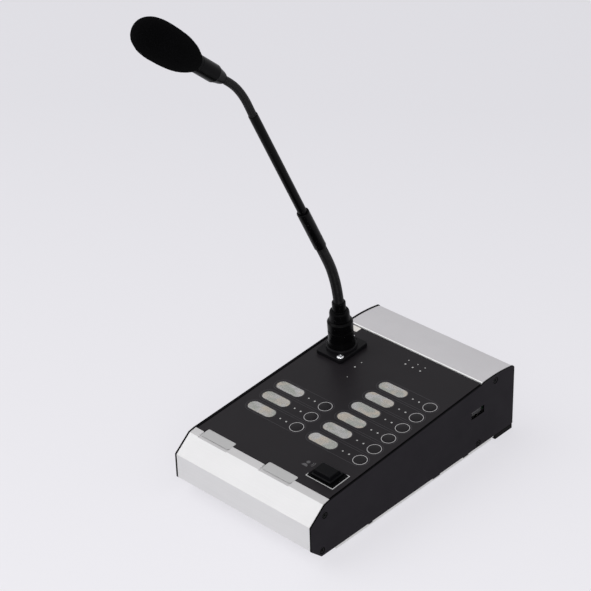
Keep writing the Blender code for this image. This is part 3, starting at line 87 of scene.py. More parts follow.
def named(name):
    piece = bpy.context.object
    piece.name = name
    piece.data.name = name
    return piece


def addBox(name, low, high):
    # a cube stretched between two corners
    letGo()
    size = Vector(high) - Vector(low)
    bpy.ops.mesh.primitive_cube_add(size=1, location=(Vector(low) + Vector(high)) / 2)
    bpy.context.object.scale = size
    bpy.ops.object.transform_apply(location=True, rotation=True, scale=True)
    return named(name)


def addRod(name, radius, low, high, centre=(0, 0), sides=48, topRadius=None):
    # an upright cylinder or cone from low to high
    letGo()
    top = radius if topRadius is None else topRadius
    bpy.ops.mesh.primitive_cone_add(vertices=sides, radius1=radius, radius2=top, depth=high - low,
                                    location=(centre[0], centre[1], (low + high) / 2))
    bpy.ops.object.transform_apply(location=True, rotation=True, scale=True)
    return named(name)


def drawChain(name, points):
    # one point, pulled out along a chain of places; stays in edit mode
    letGo()
    bpy.ops.mesh.primitive_plane_add(size=tiny, location=(0, 0, 0))
    piece = named(name)
    bpy.ops.object.mode_set(mode="EDIT")
    bpy.ops.mesh.select_mode(type="VERT")
    bpy.ops.mesh.select_all(action="SELECT")
    bpy.ops.mesh.merge(type="CENTER")
    bpy.ops.transform.translate(value=points[0])
    for here, there in zip(points, points[1:]):
        bpy.ops.mesh.extrude_vertices_move(TRANSFORM_OT_translate={"value": Vector(there) - Vector(here)})
    return piece


def turnProfile(name, profile, sides=64, closed=False):
    # a profile of (radius, height) spun round the upright axis
    points = [Vector((radius, 0, height)) for radius, height in profile]
    piece = drawChain(name, points)
    if closed:
        bpy.ops.mesh.select_all(action="SELECT")
        bpy.ops.mesh.edge_face_add()
        bpy.ops.mesh.delete(type="ONLY_FACE")
    bpy.ops.mesh.select_all(action="SELECT")
    bpy.ops.mesh.spin(steps=sides, angle=2 * math.pi, center=(0, 0, 0), axis=(0, 0, 1))
    bpy.ops.mesh.select_all(action="SELECT")
    bpy.ops.mesh.remove_doubles(threshold=tiny)
    bpy.ops.mesh.normals_make_consistent(inside=False)
    letGo()
    return piece


def drawSlab(name, outline, low, high):
    # a flat outline of (x, y) places, filled and pulled up
    piece = drawChain(name, [Vector((x, y, low)) for x, y in outline])
    bpy.ops.mesh.select_all(action="SELECT")
    bpy.ops.mesh.edge_face_add()
    bpy.ops.mesh.extrude_region_move(TRANSFORM_OT_translate={"value": (0, 0, high - low)})
    bpy.ops.mesh.select_all(action="SELECT")
    bpy.ops.mesh.normals_make_consistent(inside=False)
    letGo()
    return piece


def arcPlaces(centre, radius, start, end, steps):
    # places on an arc, angles in degrees
    turns = [math.radians(start + (end - start) * i / steps) for i in range(steps + 1)]
    return [(centre[0] + radius * math.cos(a), centre[1] + radius * math.sin(a)) for a in turns]


def roundedBox(low, high, corner, steps=6):
    # outline of a rectangle with round corners
    outline = []
    corners = ((high[0], high[1]), (low[0], high[1]), (low[0], low[1]), (high[0], low[1]))
    for number, (x, y) in enumerate(corners):
        across = -corner if x == high[0] else corner
        along = -corner if y == high[1] else corner
        outline += arcPlaces((x + across, y + along), corner, 90 * number, 90 * number + 90, steps)
    return outline


def useModifier(piece, kind, **values):
    takeUp(piece)
    modifier = piece.modifiers.new(kind.lower(), kind)
    for key, value in values.items():
        setattr(modifier, key, value)
    bpy.ops.object.modifier_apply(modifier=modifier.name)


def bevelEdges(piece, width, segments=2, angle=30):
    useModifier(piece, "BEVEL", width=width, segments=segments, limit_method="ANGLE",
                angle_limit=math.radians(angle), harden_normals=False, use_clamp_overlap=True)


def combine(piece, operation, *others):
    for other in others:
        useModifier(piece, "BOOLEAN", operation=operation, solver="EXACT", object=other)
        bpy.data.objects.remove(other)


def cutAway(piece, *cutters):
    combine(piece, "DIFFERENCE", *cutters)


def cutCross(piece, half, width, floor, top):
    # a cross recess from its floor up
    arms = [addBox("recess", (-x, -y, floor), (x, y, top)) for x, y in ((half, width), (width, half))]
    cutAway(piece, *arms)


def gather(name, parts):
    # several meshes as one object
    letGo()
    for part in parts:
        part.select_set(True)
    bpy.context.view_layer.objects.active = parts[0]
    bpy.ops.object.join()
    return named(name)


def settle(piece, place):
    # a piece modelled in its own frame goes to its place, with the place in its mesh
    takeUp(piece)
    piece.matrix_world = place @ piece.matrix_world
    bpy.ops.object.transform_apply(location=True, rotation=True, scale=True)
    return piece


def copyPiece(piece, name, place):
    takeUp(piece)
    bpy.ops.object.duplicate(linked=False)
    copy = named(name)
    return settle(copy, place)


def dressCopy(node, name, width, segments=2, angle=30):
    # a CAD node's shape, merged back to whole faces, with broken edges
    takeUp(frame["nodes"][node])
    bpy.ops.object.duplicate(linked=False)
    piece = named(name)
    for key in list(piece.keys()):
        del piece[key]
    piece.parent = None
    editAll(piece)
    bpy.ops.mesh.remove_doubles(threshold=tiny)
    bpy.ops.mesh.dissolve_limited(angle_limit=math.radians(0.5))
    letGo()
    takeUp(piece)
    bpy.ops.mesh.customdata_custom_splitnormals_clear()
    if width:
        bevelEdges(piece, width, segments, angle)
    return piece


def finishPiece(piece, finish, body, *nodes, at=None, slot=None, smooth=35, weighted=True):
    # its place, shading and finish, then the body it hangs from and the CAD nodes it hides
    if at is not None:
        settle(piece, at)
    takeUp(piece)
    bpy.ops.object.shade_smooth_by_angle(angle=math.radians(smooth))
    if weighted:
        # broad faces keep an even shade up to their broken edges
        useModifier(piece, "WEIGHTED_NORMAL", keep_sharp=True, weight=faceWeight)
    piece.data.materials.clear()
    piece.data.materials.append(finishes[finish])
    if body:
        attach(piece, body)
    if nodes:
        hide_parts(*nodes)
    letGo()
    return piece


def addSecondFinish(piece, finish, test):
    # faces whose middle and normal pass the test take another finish
    piece.data.materials.append(finishes[finish])
    for face in piece.data.polygons:
        if test(face.center, face.normal):
            face.material_index = len(piece.data.materials) - 1


# Node groups that several finishes share

def feed(tree, socket, value):
    # a link from another node, or a plain number or colour
    if isinstance(value, bpy.types.NodeSocket):
        tree.links.new(value, socket)
    else:
        socket.default_value = (*value, 1.0) if isinstance(value, tuple) else value


def newGroup(name, inputs, outputs):
    group = bpy.data.node_groups.new(name, "ShaderNodeTree")
    for label, value in inputs.items():
        socket = group.interface.new_socket(label, in_out="INPUT", socket_type="NodeSocketFloat")
        socket.default_value = value
    for label in outputs:
        group.interface.new_socket(label, in_out="OUTPUT", socket_type="NodeSocketFloat")
    into = group.nodes.new("NodeGroupInput")
    out = group.nodes.new("NodeGroupOutput")
    return group, into, out


def objectPlace(tree):
    return tree.nodes.new("ShaderNodeTexCoord").outputs["Object"]


def addMath(tree, operation, first, second, clamp=False):
    node = tree.nodes.new("ShaderNodeMath")
    node.operation = operation
    node.use_clamp = clamp
    feed(tree, node.inputs[0], first)
    feed(tree, node.inputs[1], second)
    return node.outputs["Value"]


def inFrontOf(tree, y):
    # 1 in front of a place along y, 0 behind it
    apart = tree.nodes.new("ShaderNodeSeparateXYZ")
    tree.links.new(objectPlace(tree), apart.inputs["Vector"])
    return addMath(tree, "LESS_THAN", apart.outputs["Y"], y)


def addNoise(tree, vector, scale, detail, roughness=0.55):
    node = tree.nodes.new("ShaderNodeTexNoise")
    feed(tree, node.inputs["Vector"], vector)
    feed(tree, node.inputs["Scale"], scale)
    feed(tree, node.inputs["Detail"], detail)
    feed(tree, node.inputs["Roughness"], roughness)
    return node.outputs["Fac"]


def addStretch(tree, vector, stretch, turn=(0.0, 0.0, 0.0)):
    node = tree.nodes.new("ShaderNodeMapping")
    tree.links.new(vector, node.inputs["Vector"])
    node.inputs["Rotation"].default_value = turn
    node.inputs["Scale"].default_value = stretch
    return node.outputs["Vector"]


def addSpread(tree, value, low, high, start=0.3, end=0.7):
    # what lies between start and end, spread from low to high
    node = tree.nodes.new("ShaderNodeMapRange")
    feed(tree, node.inputs["Value"], value)
    feed(tree, node.inputs["From Min"], start)
    feed(tree, node.inputs["From Max"], end)
    feed(tree, node.inputs["To Min"], low)
    feed(tree, node.inputs["To Max"], high)
    return node.outputs["Result"]


groupSet = {
    "drawnStretch": (0.6, 40.0, 40.0),
    "scratchStretch": (1.0, 22.0, 22.0),
    "scratchTurn": (0.2, 0.4, 0.9),
    "scratchStart": 0.68,       # noise above this is a scratch
    "scratchContrast": 9.0,
    "scratchPatches": 45.0,
    "fuzzScale": 2400.0,
    "fuzzShare": 0.5,
}


def makeGrainGroup():
    # fine grain: a tone for colour, a second for roughness, and a height
    group, into, out = newGroup("fineGrain", {"Scale": 900.0, "Patch Scale": 25.0},
                                ("Tone", "Patches", "Height"))
    place = objectPlace(group)
    fine = addNoise(group, place, into.outputs["Scale"], 4.0)
    wide = addNoise(group, place, into.outputs["Patch Scale"], 3.0)
    group.links.new(addSpread(group, fine, 0.0, 1.0), out.inputs["Tone"])
    group.links.new(addSpread(group, wide, 0.0, 1.0), out.inputs["Patches"])
    group.links.new(fine, out.inputs["Height"])
    return group


def makeDrawnGroup():
    # lines left by extruding or brushing along x
    group, into, out = newGroup("drawnLines", {"Scale": 60.0}, ("Tone", "Height"))
    place = objectPlace(group)
    along = addStretch(group, place, groupSet["drawnStretch"])
    lines = addNoise(group, along, into.outputs["Scale"], 5.0)
    group.links.new(addSpread(group, lines, 0.0, 1.0), out.inputs["Tone"])
    group.links.new(lines, out.inputs["Height"])
    return group


def makeHandlingGroup():
    # smudges and short hairline scratches
    group, into, out = newGroup("handling", {"Smudge Scale": 30.0, "Scratch Scale": 160.0},
                                ("Smudges", "Scratches"))
    place = objectPlace(group)
    smudges = addNoise(group, place, into.outputs["Smudge Scale"], 5.0, 0.65)
    turned = addStretch(group, place, groupSet["scratchStretch"], groupSet["scratchTurn"])
    hairs = addNoise(group, turned, into.outputs["Scratch Scale"], 2.0)
    above = addMath(group, "SUBTRACT", hairs, groupSet["scratchStart"])
    sharp = addMath(group, "MULTIPLY", above, groupSet["scratchContrast"], clamp=True)
    patches = addNoise(group, place, groupSet["scratchPatches"], 2.0)
    group.links.new(addSpread(group, smudges, 0.0, 1.0), out.inputs["Smudges"])
    broken = addMath(group, "MULTIPLY", sharp, addSpread(group, patches, 0.0, 1.0))
    group.links.new(broken, out.inputs["Scratches"])
    return group


def makePoreGroup():
    # open cells of foam: their depth, and a painted shade that darkens the pits
    group, into, out = newGroup("foamCells", {"Scale": 1100.0}, ("Shade", "Height"))
    place = objectPlace(group)
    cells = group.nodes.new("ShaderNodeTexVoronoi")
    group.links.new(place, cells.inputs["Vector"])
    group.links.new(into.outputs["Scale"], cells.inputs["Scale"])
    fuzz = addNoise(group, place, groupSet["fuzzScale"], 3.0)
    group.links.new(addMath(group, "MULTIPLY", cells.outputs["Distance"], fuzz), out.inputs["Shade"])
    part = addMath(group, "MULTIPLY", fuzz, groupSet["fuzzShare"])
    rough = addMath(group, "ADD", cells.outputs["Distance"], part)
    group.links.new(rough, out.inputs["Height"])
    return group


grainGroup = makeGrainGroup()
drawnGroup = makeDrawnGroup()
handlingGroup = makeHandlingGroup()
poreGroup = makePoreGroup()


# Finishes

def placeGroup(tree, group, **values):
    node = tree.nodes.new("ShaderNodeGroup")
    node.node_tree = group
    for label, value in values.items():
        node.inputs[label.replace("_", " ")].default_value = value
    return node


def mixColours(tree, factor, first, second):
    node = tree.nodes.new("ShaderNodeMix")
    node.data_type = "RGBA"
    feed(tree, node.inputs["Factor"], factor)
    feed(tree, node.inputs[6], first)
    feed(tree, node.inputs[7], second)
    return node.outputs[2]


def addBump(tree, shader, height, strength, distance):
    bump = tree.nodes.new("ShaderNodeBump")
    bump.inputs["Strength"].default_value = strength
    bump.inputs["Distance"].default_value = distance
    tree.links.new(height, bump.inputs["Height"])
    tree.links.new(bump.outputs["Normal"], shader.inputs["Normal"])


def newFinish(name, metallic=0.0, specular=0.5, coat=0.0, coatRoughness=0.2):
    material = bpy.data.materials.new(name)
    material.use_nodes = True
    tree = material.node_tree
    shader = tree.nodes["Principled BSDF"]
    shader.inputs["Metallic"].default_value = metallic
    shader.inputs["Specular IOR Level"].default_value = specular
    shader.inputs["Coat Weight"].default_value = coat
    shader.inputs["Coat Roughness"].default_value = coatRoughness
    return material, tree, shader


def makeFinish(name, dark, light, rough, metallic=0.0, specular=0.5, grainScale=900.0,
               patchScale=25.0, bump=0.2, bumpDistance=0.00005, scratch=0.0,
               scratchTone=(0.3, 0.3, 0.3), drawn=0.0, coat=0.0):
    # colour and gloss that vary with grain, patches, drawn lines and handling
    material, tree, shader = newFinish(name, metallic, specular, coat)
    grain = placeGroup(tree, grainGroup, Scale=grainScale, Patch_Scale=patchScale)
    handling = placeGroup(tree, handlingGroup)
    tone = addMath(tree, "ADD", grain.outputs["Tone"], grain.outputs["Patches"])
    tone = addMath(tree, "MULTIPLY", tone, 0.5)
    height = grain.outputs["Height"]
    if drawn:
        lines = placeGroup(tree, drawnGroup)
        tone = addMath(tree, "ADD", addMath(tree, "MULTIPLY", tone, 1.0 - drawn),
                       addMath(tree, "MULTIPLY", lines.outputs["Tone"], drawn))
        height = addMath(tree, "ADD", height, lines.outputs["Height"])
    colour = mixColours(tree, tone, dark, light)
    if scratch:
        worn = addMath(tree, "MULTIPLY", handling.outputs["Scratches"], scratch)
        colour = mixColours(tree, worn, colour, scratchTone)
    tree.links.new(colour, shader.inputs["Base Color"])
    gloss = addMath(tree, "MULTIPLY", handling.outputs["Smudges"], rough[1] - rough[0])
    gloss = addMath(tree, "ADD", gloss, rough[0])
    tree.links.new(gloss, shader.inputs["Roughness"])
    addBump(tree, shader, height, bump, bumpDistance)
    return material


finishSet = {
    # dark and light colour, least and most roughness, and what differs from a plain finish
    "blackPaint": ((0.0144, 0.0128, 0.0160), (0.0190, 0.0171, 0.0208), (0.50, 0.62),
        dict(specular=0.05, grainScale=2600.0, bump=0.35, scratch=0.15, scratchTone=(0.05, 0.05, 0.055))),
    # a darker copy of the black paint: painted shade on the side plates' edges and in the gaps beside the
    # film
    "shadedBlackEdge": ((0.0012, 0.0012, 0.0014), (0.0024, 0.0023, 0.0027), (0.42, 0.52),
        dict(specular=0.03, grainScale=2600.0, bump=0.35)),
    "railAluminium": ((0.72, 0.715, 0.72), (0.79, 0.785, 0.79), (0.50, 0.60),
        dict(metallic=0.25, grainScale=3200.0, bump=0.25, drawn=0.35)),
    "capAluminium": ((0.600, 0.588, 0.605), (0.670, 0.658, 0.675), (0.54, 0.64),
        dict(metallic=0.60, grainScale=3200.0, bump=0.25, drawn=0.25)),
    # a darker copy of the rail's aluminium for its upward faces: painted shade
    "shadedLandAluminium": ((0.555, 0.548, 0.552), (0.62, 0.612, 0.616), (0.54, 0.64),
        dict(metallic=0.60, grainScale=3200.0, bump=0.25, drawn=0.25)),
    "printedFilm": ((0.0146, 0.0129, 0.0150), (0.0184, 0.0164, 0.0189), (0.32, 0.42),
        dict(specular=0.10, grainScale=4000.0, bump=0.25, scratch=0.1, scratchTone=(0.05, 0.05, 0.05))),
    "keyCap": ((0.0095, 0.0084, 0.0098), (0.0125, 0.0112, 0.0130), (0.32, 0.42),
        dict(specular=0.12, grainScale=4000.0, bump=0.2)),
    "zincSheet": ((0.74, 0.735, 0.73), (0.86, 0.855, 0.84), (0.40, 0.54),
        dict(metallic=0.25, grainScale=260.0, patchScale=60.0, bump=0.15,
             scratch=0.3, scratchTone=(0.75, 0.75, 0.75))),
    "blackMoulding": ((0.0008, 0.0008, 0.0010), (0.0018, 0.0018, 0.0021), (0.36, 0.48),
        dict(specular=0.03, grainScale=2200.0, bump=0.3)),
    "talkCap": ((0.0018, 0.0018, 0.0024), (0.0032, 0.0032, 0.0042), (0.30, 0.42),
        dict(specular=0.07, grainScale=2200.0, bump=0.25)),
    "boardGreen": ((0.012, 0.09, 0.035), (0.02, 0.13, 0.05), (0.25, 0.4),
        dict(grainScale=500.0, bump=0.2, coat=0.3)),
    "nickelPlate": ((0.70, 0.71, 0.73), (0.82, 0.83, 0.85), (0.18, 0.32),
        dict(metallic=1.0, grainScale=1200.0, bump=0.08, scratch=0.2, scratchTone=(0.4, 0.4, 0.38))),
    "blackAnodised": ((0.0010, 0.0010, 0.0012), (0.0020, 0.0020, 0.0023), (0.22, 0.32),
        dict(specular=0.06, grainScale=3000.0, bump=0.12, scratch=0.2, scratchTone=(0.05, 0.05, 0.05))),
    "flexSteel": ((0.0022, 0.0021, 0.0024), (0.0048, 0.0047, 0.0052), (0.24, 0.38),
        dict(specular=0.15, grainScale=2400.0, bump=0.15, scratch=0.3, scratchTone=(0.07, 0.07, 0.07))),
    "dieCastBlack": ((0.0045, 0.0043, 0.0052), (0.0075, 0.0071, 0.0085), (0.32, 0.44),
        dict(specular=0.08, grainScale=1500.0, bump=0.4, scratch=0.15, scratchTone=(0.06, 0.06, 0.06))),
    "rubberFoot": ((0.004, 0.004, 0.004), (0.009, 0.009, 0.009), (0.75, 0.9),
        dict(specular=0.1, grainScale=1200.0, bump=0.5, bumpDistance=0.0001)),
    "printWhite": ((0.46, 0.46, 0.46), (0.58, 0.58, 0.58), (0.45, 0.55),
        dict(grainScale=5000.0, patchScale=160.0, bump=0.1)),
    "printSilver": ((0.40, 0.39, 0.40), (0.48, 0.47, 0.48), (0.40, 0.50),
        dict(grainScale=5000.0, bump=0.1)),
    "printGrey": ((0.045, 0.043, 0.048), (0.060, 0.058, 0.064), (0.35, 0.45),
        dict(specular=0.15, grainScale=5000.0, bump=0.1)),
    "printFigure": ((0.060, 0.058, 0.062), (0.085, 0.083, 0.088), (0.40, 0.50),
        dict(grainScale=5000.0, bump=0.1)),
    "blankLabel": ((0.80, 0.77, 0.73), (0.87, 0.84, 0.80), (0.55, 0.7),
        dict(grainScale=1800.0, bump=0.2)),
    "lampLens": ((0.38, 0.38, 0.38), (0.50, 0.50, 0.49), (0.25, 0.35),
        dict(grainScale=3000.0, bump=0.1, coat=0.3)),
    "contactBrass": ((0.60, 0.42, 0.16), (0.75, 0.55, 0.24), (0.22, 0.32),
        dict(metallic=1.0, grainScale=2000.0, bump=0.1)),
}
finishes = {name: makeFinish(name, dark, light, rough, **more)
            for name, (dark, light, rough, more) in finishSet.items()}


foamLook = {
    "cellScale": 1500.0,
    "cellContrast": 2.2,
    # painted shade in the pits, then the struts' own colour
    "paintedPoreShade": (0.0008, 0.0008, 0.0009),
    "strut": (0.0042, 0.0042, 0.0046),
    "dust": (0.002, 0.002, 0.002),
    "dustShare": 0.3,
    "grainScale": 500.0,
    "patchScale": 90.0,
    "roughness": 0.95,
    "sheen": 0.03,
    "sheenRoughness": 0.6,
    "sheenTint": (0.25, 0.25, 0.26, 1.0),
    "bump": (0.8, 0.0003),      # strength and distance
}
labelLook = {
    "white": (0.60, 0.595, 0.605),
    "greyGreen": (0.37, 0.405, 0.345),
    "beige": (0.67, 0.56, 0.42),
    "fibre": (0.66, 0.66, 0.64),
    "wideScale": 70.0,
    "wideStretch": (1.0, 1.6, 1.6),
    "wideSpread": (-1.3, 2.3),
    "middleScale": 105.0,
    "middleStretch": (1.0, 1.3, 1.0),
    "middleSpread": (-1.6, 2.2),
    "beigeShare": 0.6,
    "fibreScale": 1500.0,
    "fibreShare": 0.2,
    "rough": (0.6, 0.75),
    "bump": (0.2, 0.00005),
    "pullEnd": (0.50, 0.498, 0.50),
    "pullEndDepth": 0.035,      # from the housing's front
}
windowLook = {
    "dark": (0.51, 0.505, 0.50),
    "light": (0.57, 0.565, 0.555),
    "grainScale": 3000.0,
    "patchScale": 120.0,
    "smudgeScale": 70.0,
    "rough": (0.28, 0.42),
    "cover": (0.22, 0.32),      # least and most alpha
    "bump": (0.15, 0.00003),
}


def makeFoamFinish():
    material, tree, shader = newFinish("windscreenFoam", specular=0.0)
    shader.inputs["Roughness"].default_value = foamLook["roughness"]
    shader.inputs["Sheen Weight"].default_value = foamLook["sheen"]
    shader.inputs["Sheen Roughness"].default_value = foamLook["sheenRoughness"]
    shader.inputs["Sheen Tint"].default_value = foamLook["sheenTint"]
    cells = placeGroup(tree, poreGroup, Scale=foamLook["cellScale"])
    grain = placeGroup(tree, grainGroup, Scale=foamLook["grainScale"], Patch_Scale=foamLook["patchScale"])
    # the pits are painted darker than the struts: painted shade
    depth = addMath(tree, "MULTIPLY", cells.outputs["Shade"], foamLook["cellContrast"], clamp=True)
    colour = mixColours(tree, depth, foamLook["paintedPoreShade"], foamLook["strut"])
    dusty = addMath(tree, "MULTIPLY", grain.outputs["Patches"], foamLook["dustShare"])
    colour = mixColours(tree, dusty, colour, foamLook["dust"])
    tree.links.new(colour, shader.inputs["Base Color"])
    addBump(tree, shader, cells.outputs["Height"], *foamLook["bump"])
    return material


def makeLabelFinish():
    # blank card behind a frosted film, in soft patches, with a plain pull end before the windows
    material, tree, shader = newFinish("labelCard", specular=0.3)
    place = objectPlace(tree)
    wide = addStretch(tree, place, labelLook["wideStretch"])
    wide = addNoise(tree, wide, labelLook["wideScale"], 1.0)
    middle = addStretch(tree, place, labelLook["middleStretch"])
    middle = addNoise(tree, middle, labelLook["middleScale"], 1.0)
    fine = addNoise(tree, place, labelLook["fibreScale"], 4.0)
    wide = addSpread(tree, wide, *labelLook["wideSpread"])
    middle = addSpread(tree, middle, *labelLook["middleSpread"])
    middle = addMath(tree, "MULTIPLY", middle, labelLook["beigeShare"])
    colour = mixColours(tree, wide, labelLook["white"], labelLook["greyGreen"])
    colour = mixColours(tree, middle, colour, labelLook["beige"])
    fibres = addMath(tree, "MULTIPLY", fine, labelLook["fibreShare"])
    colour = mixColours(tree, fibres, colour, labelLook["fibre"])
    pullEnd = inFrontOf(tree, frontY + labelLook["pullEndDepth"])
    colour = mixColours(tree, pullEnd, colour, labelLook["pullEnd"])
    tree.links.new(colour, shader.inputs["Base Color"])
    tree.links.new(addSpread(tree, fine, *labelLook["rough"]), shader.inputs["Roughness"])
    addBump(tree, shader, fine, *labelLook["bump"])
    return material


def makeWindowFinish():
    # milky clear film over the label windows
    material, tree, shader = newFinish("windowFilm", specular=0.4)
    grain = placeGroup(tree, grainGroup, Scale=windowLook["grainScale"],
                       Patch_Scale=windowLook["patchScale"])
    handling = placeGroup(tree, handlingGroup, Smudge_Scale=windowLook["smudgeScale"])
    patches = grain.outputs["Patches"]
    colour = mixColours(tree, patches, windowLook["dark"], windowLook["light"])
    tree.links.new(colour, shader.inputs["Base Color"])
    gloss = addSpread(tree, handling.outputs["Smudges"], *windowLook["rough"])
    tree.links.new(gloss, shader.inputs["Roughness"])
    tree.links.new(addSpread(tree, patches, *windowLook["cover"]), shader.inputs["Alpha"])
    addBump(tree, shader, grain.outputs["Height"], *windowLook["bump"])
    return material


finishes["windscreenFoam"] = makeFoamFinish()
finishes["labelCard"] = makeLabelFinish()
finishes["windowFilm"] = makeWindowFinish()
print("finishes ready")


# Camera, from the solved photograph

cameraSet = {
    "azimuth": 44.074,          # degrees from straight ahead, towards the user's right
    "elevation": 31.266,
    "roll": -1.723,
    "distance": 1.43673,        # along the line of sight to the housing's front foot
    "across": 0.03818,          # aim from that point, along the picture's axes
    "upward": 0.16970,
    "focalPixels": 1980.97,
    "pictureWidth": 591,
    "sensor": 36.0,
    "clip": (0.05, 50.0),
}


def makeCamera():
    azimuth, elevation, roll = (math.radians(cameraSet[key]) for key in ("azimuth", "elevation", "roll"))
    back = Vector((math.sin(azimuth) * math.cos(elevation), -math.cos(azimuth) * math.cos(elevation),
                   math.sin(elevation)))
    level = Vector((math.cos(azimuth), math.sin(azimuth), 0))
    above = back.cross(level)
    right = level * math.cos(roll) + above * math.sin(roll)
    up = above * math.cos(roll) - level * math.sin(roll)
    place = Vector((0, frontY, 0)) + right * cameraSet["across"] + up * cameraSet["upward"]
    place += back * cameraSet["distance"]
    data = bpy.data.cameras.new("photoCamera")
    data.sensor_width = cameraSet["sensor"]
    data.lens = cameraSet["sensor"] * cameraSet["focalPixels"] / cameraSet["pictureWidth"]
    data.clip_start, data.clip_end = cameraSet["clip"]
    camera = bpy.data.objects.new("photoCamera", data)
    bpy.context.scene.collection.objects.link(camera)
    turned = Matrix((right, up, back)).transposed().to_4x4()
    camera.matrix_world = Matrix.Translation(place) @ turned
    bpy.context.scene.camera = camera


makeCamera()


# Floor, world and lamps

studio = {
    "floorSize": 8.0,
    "floorColour": (0.80, 0.80, 0.83),
    "fibreColour": (0.76, 0.76, 0.78),
    "fibreScale": 400.0,
    "fibreShare": 0.1,
    "paperRoughness": 0.9,
    "paperBump": (0.05, 0.0001),
    # painted light on the paper: shown brighter towards the camera, from the far colour to the near one
    "paintedLightFar": (0.785, 0.775, 0.820),      # the paper as the camera and bright metal see it
    "paintedLightNear": (0.940, 0.925, 0.970),
    "nearWay": (0.60, -0.80, 0.0),          # towards the camera
    "paintedLightSpan": (-0.62, 0.36),            # where that change starts and ends along it
    "shownShare": 0.70,                     # the rest is lit paper, which carries the shadow
    "worldLight": ((0.99, 0.99, 1.0), 0.55),
    "worldShown": ((0.985, 0.985, 1.0), 0.78),
    "lampAim": (0, 0, 0.08),
    "lamps": {                              # place, size and power
        "keyLamp": ((-1.3, -1.0, 2.0), 2.4, 22.0),
        "fillLamp": ((1.6, -1.6, 1.3), 1.4, 15.0),
    },
}


def seenRays(tree):
    # 1 for rays from the camera and for rays that metal and glass send out
    path = tree.nodes.new("ShaderNodeLightPath")
    sentOn = addMath(tree, "MAXIMUM", path.outputs["Is Glossy Ray"], path.outputs["Is Transmission Ray"])
    return addMath(tree, "MAXIMUM", path.outputs["Is Camera Ray"], sentOn)


def mixShaders(tree, share, *shaders):
    node = tree.nodes.new("ShaderNodeMixShader")
    for socket, value in zip(node.inputs, (share, *shaders)):
        tree.links.new(value, socket)
    return node.outputs["Shader"]


def makeFloor():
    letGo()
    bpy.ops.mesh.primitive_plane_add(size=studio["floorSize"], location=(0, 0, 0))
    floor = named("studioFloor")
    material, tree, shader = newFinish("studioPaper", specular=0.2)
    place = objectPlace(tree)
    fibre = addNoise(tree, place, studio["fibreScale"], 3.0)
    speckle = addMath(tree, "MULTIPLY", fibre, studio["fibreShare"])
    colour = mixColours(tree, speckle, studio["floorColour"], studio["fibreColour"])
    tree.links.new(colour, shader.inputs["Base Color"])
    shader.inputs["Roughness"].default_value = studio["paperRoughness"]
    addBump(tree, shader, fibre, *studio["paperBump"])
    plain = tree.nodes.new("ShaderNodeEmission")
    # painted light: the paper shown brighter towards the camera
    depth = tree.nodes.new("ShaderNodeVectorMath")
    depth.operation = "DOT_PRODUCT"
    tree.links.new(place, depth.inputs[0])
    depth.inputs[1].default_value = studio["nearWay"]
    span = addSpread(tree, depth.outputs["Value"], 0.0, 1.0, *studio["paintedLightSpan"])
    tree.links.new(mixColours(tree, span, studio["paintedLightFar"], studio["paintedLightNear"]), plain.inputs["Color"])
    share = addMath(tree, "MULTIPLY", seenRays(tree), studio["shownShare"])
    shown = mixShaders(tree, share, shader.outputs["BSDF"], plain.outputs["Emission"])
    tree.links.new(shown, tree.nodes["Material Output"].inputs["Surface"])
    floor.data.materials.append(material)


def makeWorld():
    world = bpy.data.worlds.new("studioWorld")
    bpy.context.scene.world = world
    world.use_nodes = True
    tree = world.node_tree
    tree.nodes.clear()
    out = tree.nodes.new("ShaderNodeOutputWorld")
    skies = []
    for colour, strength in (studio["worldLight"], studio["worldShown"]):
        sky = tree.nodes.new("ShaderNodeBackground")
        feed(tree, sky.inputs["Color"], colour)
        sky.inputs["Strength"].default_value = strength
        skies.append(sky.outputs["Background"])
    tree.links.new(mixShaders(tree, seenRays(tree), *skies), out.inputs["Surface"])


def makeLamps():
    for name, (place, size, power) in studio["lamps"].items():
        letGo()
        bpy.ops.object.light_add(type="AREA", location=place)
        lamp = bpy.context.object
        lamp.name = name
        lamp.data.shape = "DISK"
        lamp.data.size = size
        lamp.data.energy = power
        aim = Vector(studio["lampAim"]) - Vector(place)
        lamp.rotation_euler = aim.to_track_quat("-Z", "Y").to_euler()


makeFloor()
makeWorld()
makeLamps()
bpy.context.scene.view_settings.view_transform = "Standard"
print("camera and studio ready")


# Housing

housing = {
    "tilt": 3.74,               # slope of the key panel, degrees
    "slantRun": 0.0201,         # panel's front edge behind the front face
    "slantTop": 0.0483,         # height of the panel's front edge
    "panelLength": 0.1716,
    "halfWidth": 0.06555,
    "plateEdge": 0.00022,
    "extrusionEdge": 0.00030,
    # painted highlight along the cap's front edge: how far it reaches and its colour
    "lipHighlightReach": 0.0008,
    "lipHighlightColour": (0.99, 0.99, 0.99),
}
panelFoot = Vector((0, frontY + housing["slantRun"], housing["slantTop"]))
panelFrame = Matrix.Translation(panelFoot) @ Matrix.Rotation(math.radians(housing["tilt"]), 4, "X")


def paintLipHighlight(material):
    # a painted highlight: a near-white line along the front of the cap, over the end of the panel
    tree = material.node_tree
    shader = tree.nodes["Principled BSDF"]
    plain = shader.inputs["Base Color"].links[0].from_socket
    lipY = (panelFrame @ Vector((0, housing["panelLength"], 0))).y
    # the cap's faces in front of this place are painted near-white as a highlight
    line = inFrontOf(tree, lipY + housing["lipHighlightReach"])
    tree.links.new(mixColours(tree, line, plain, housing["lipHighlightColour"]), shader.inputs["Base Color"])


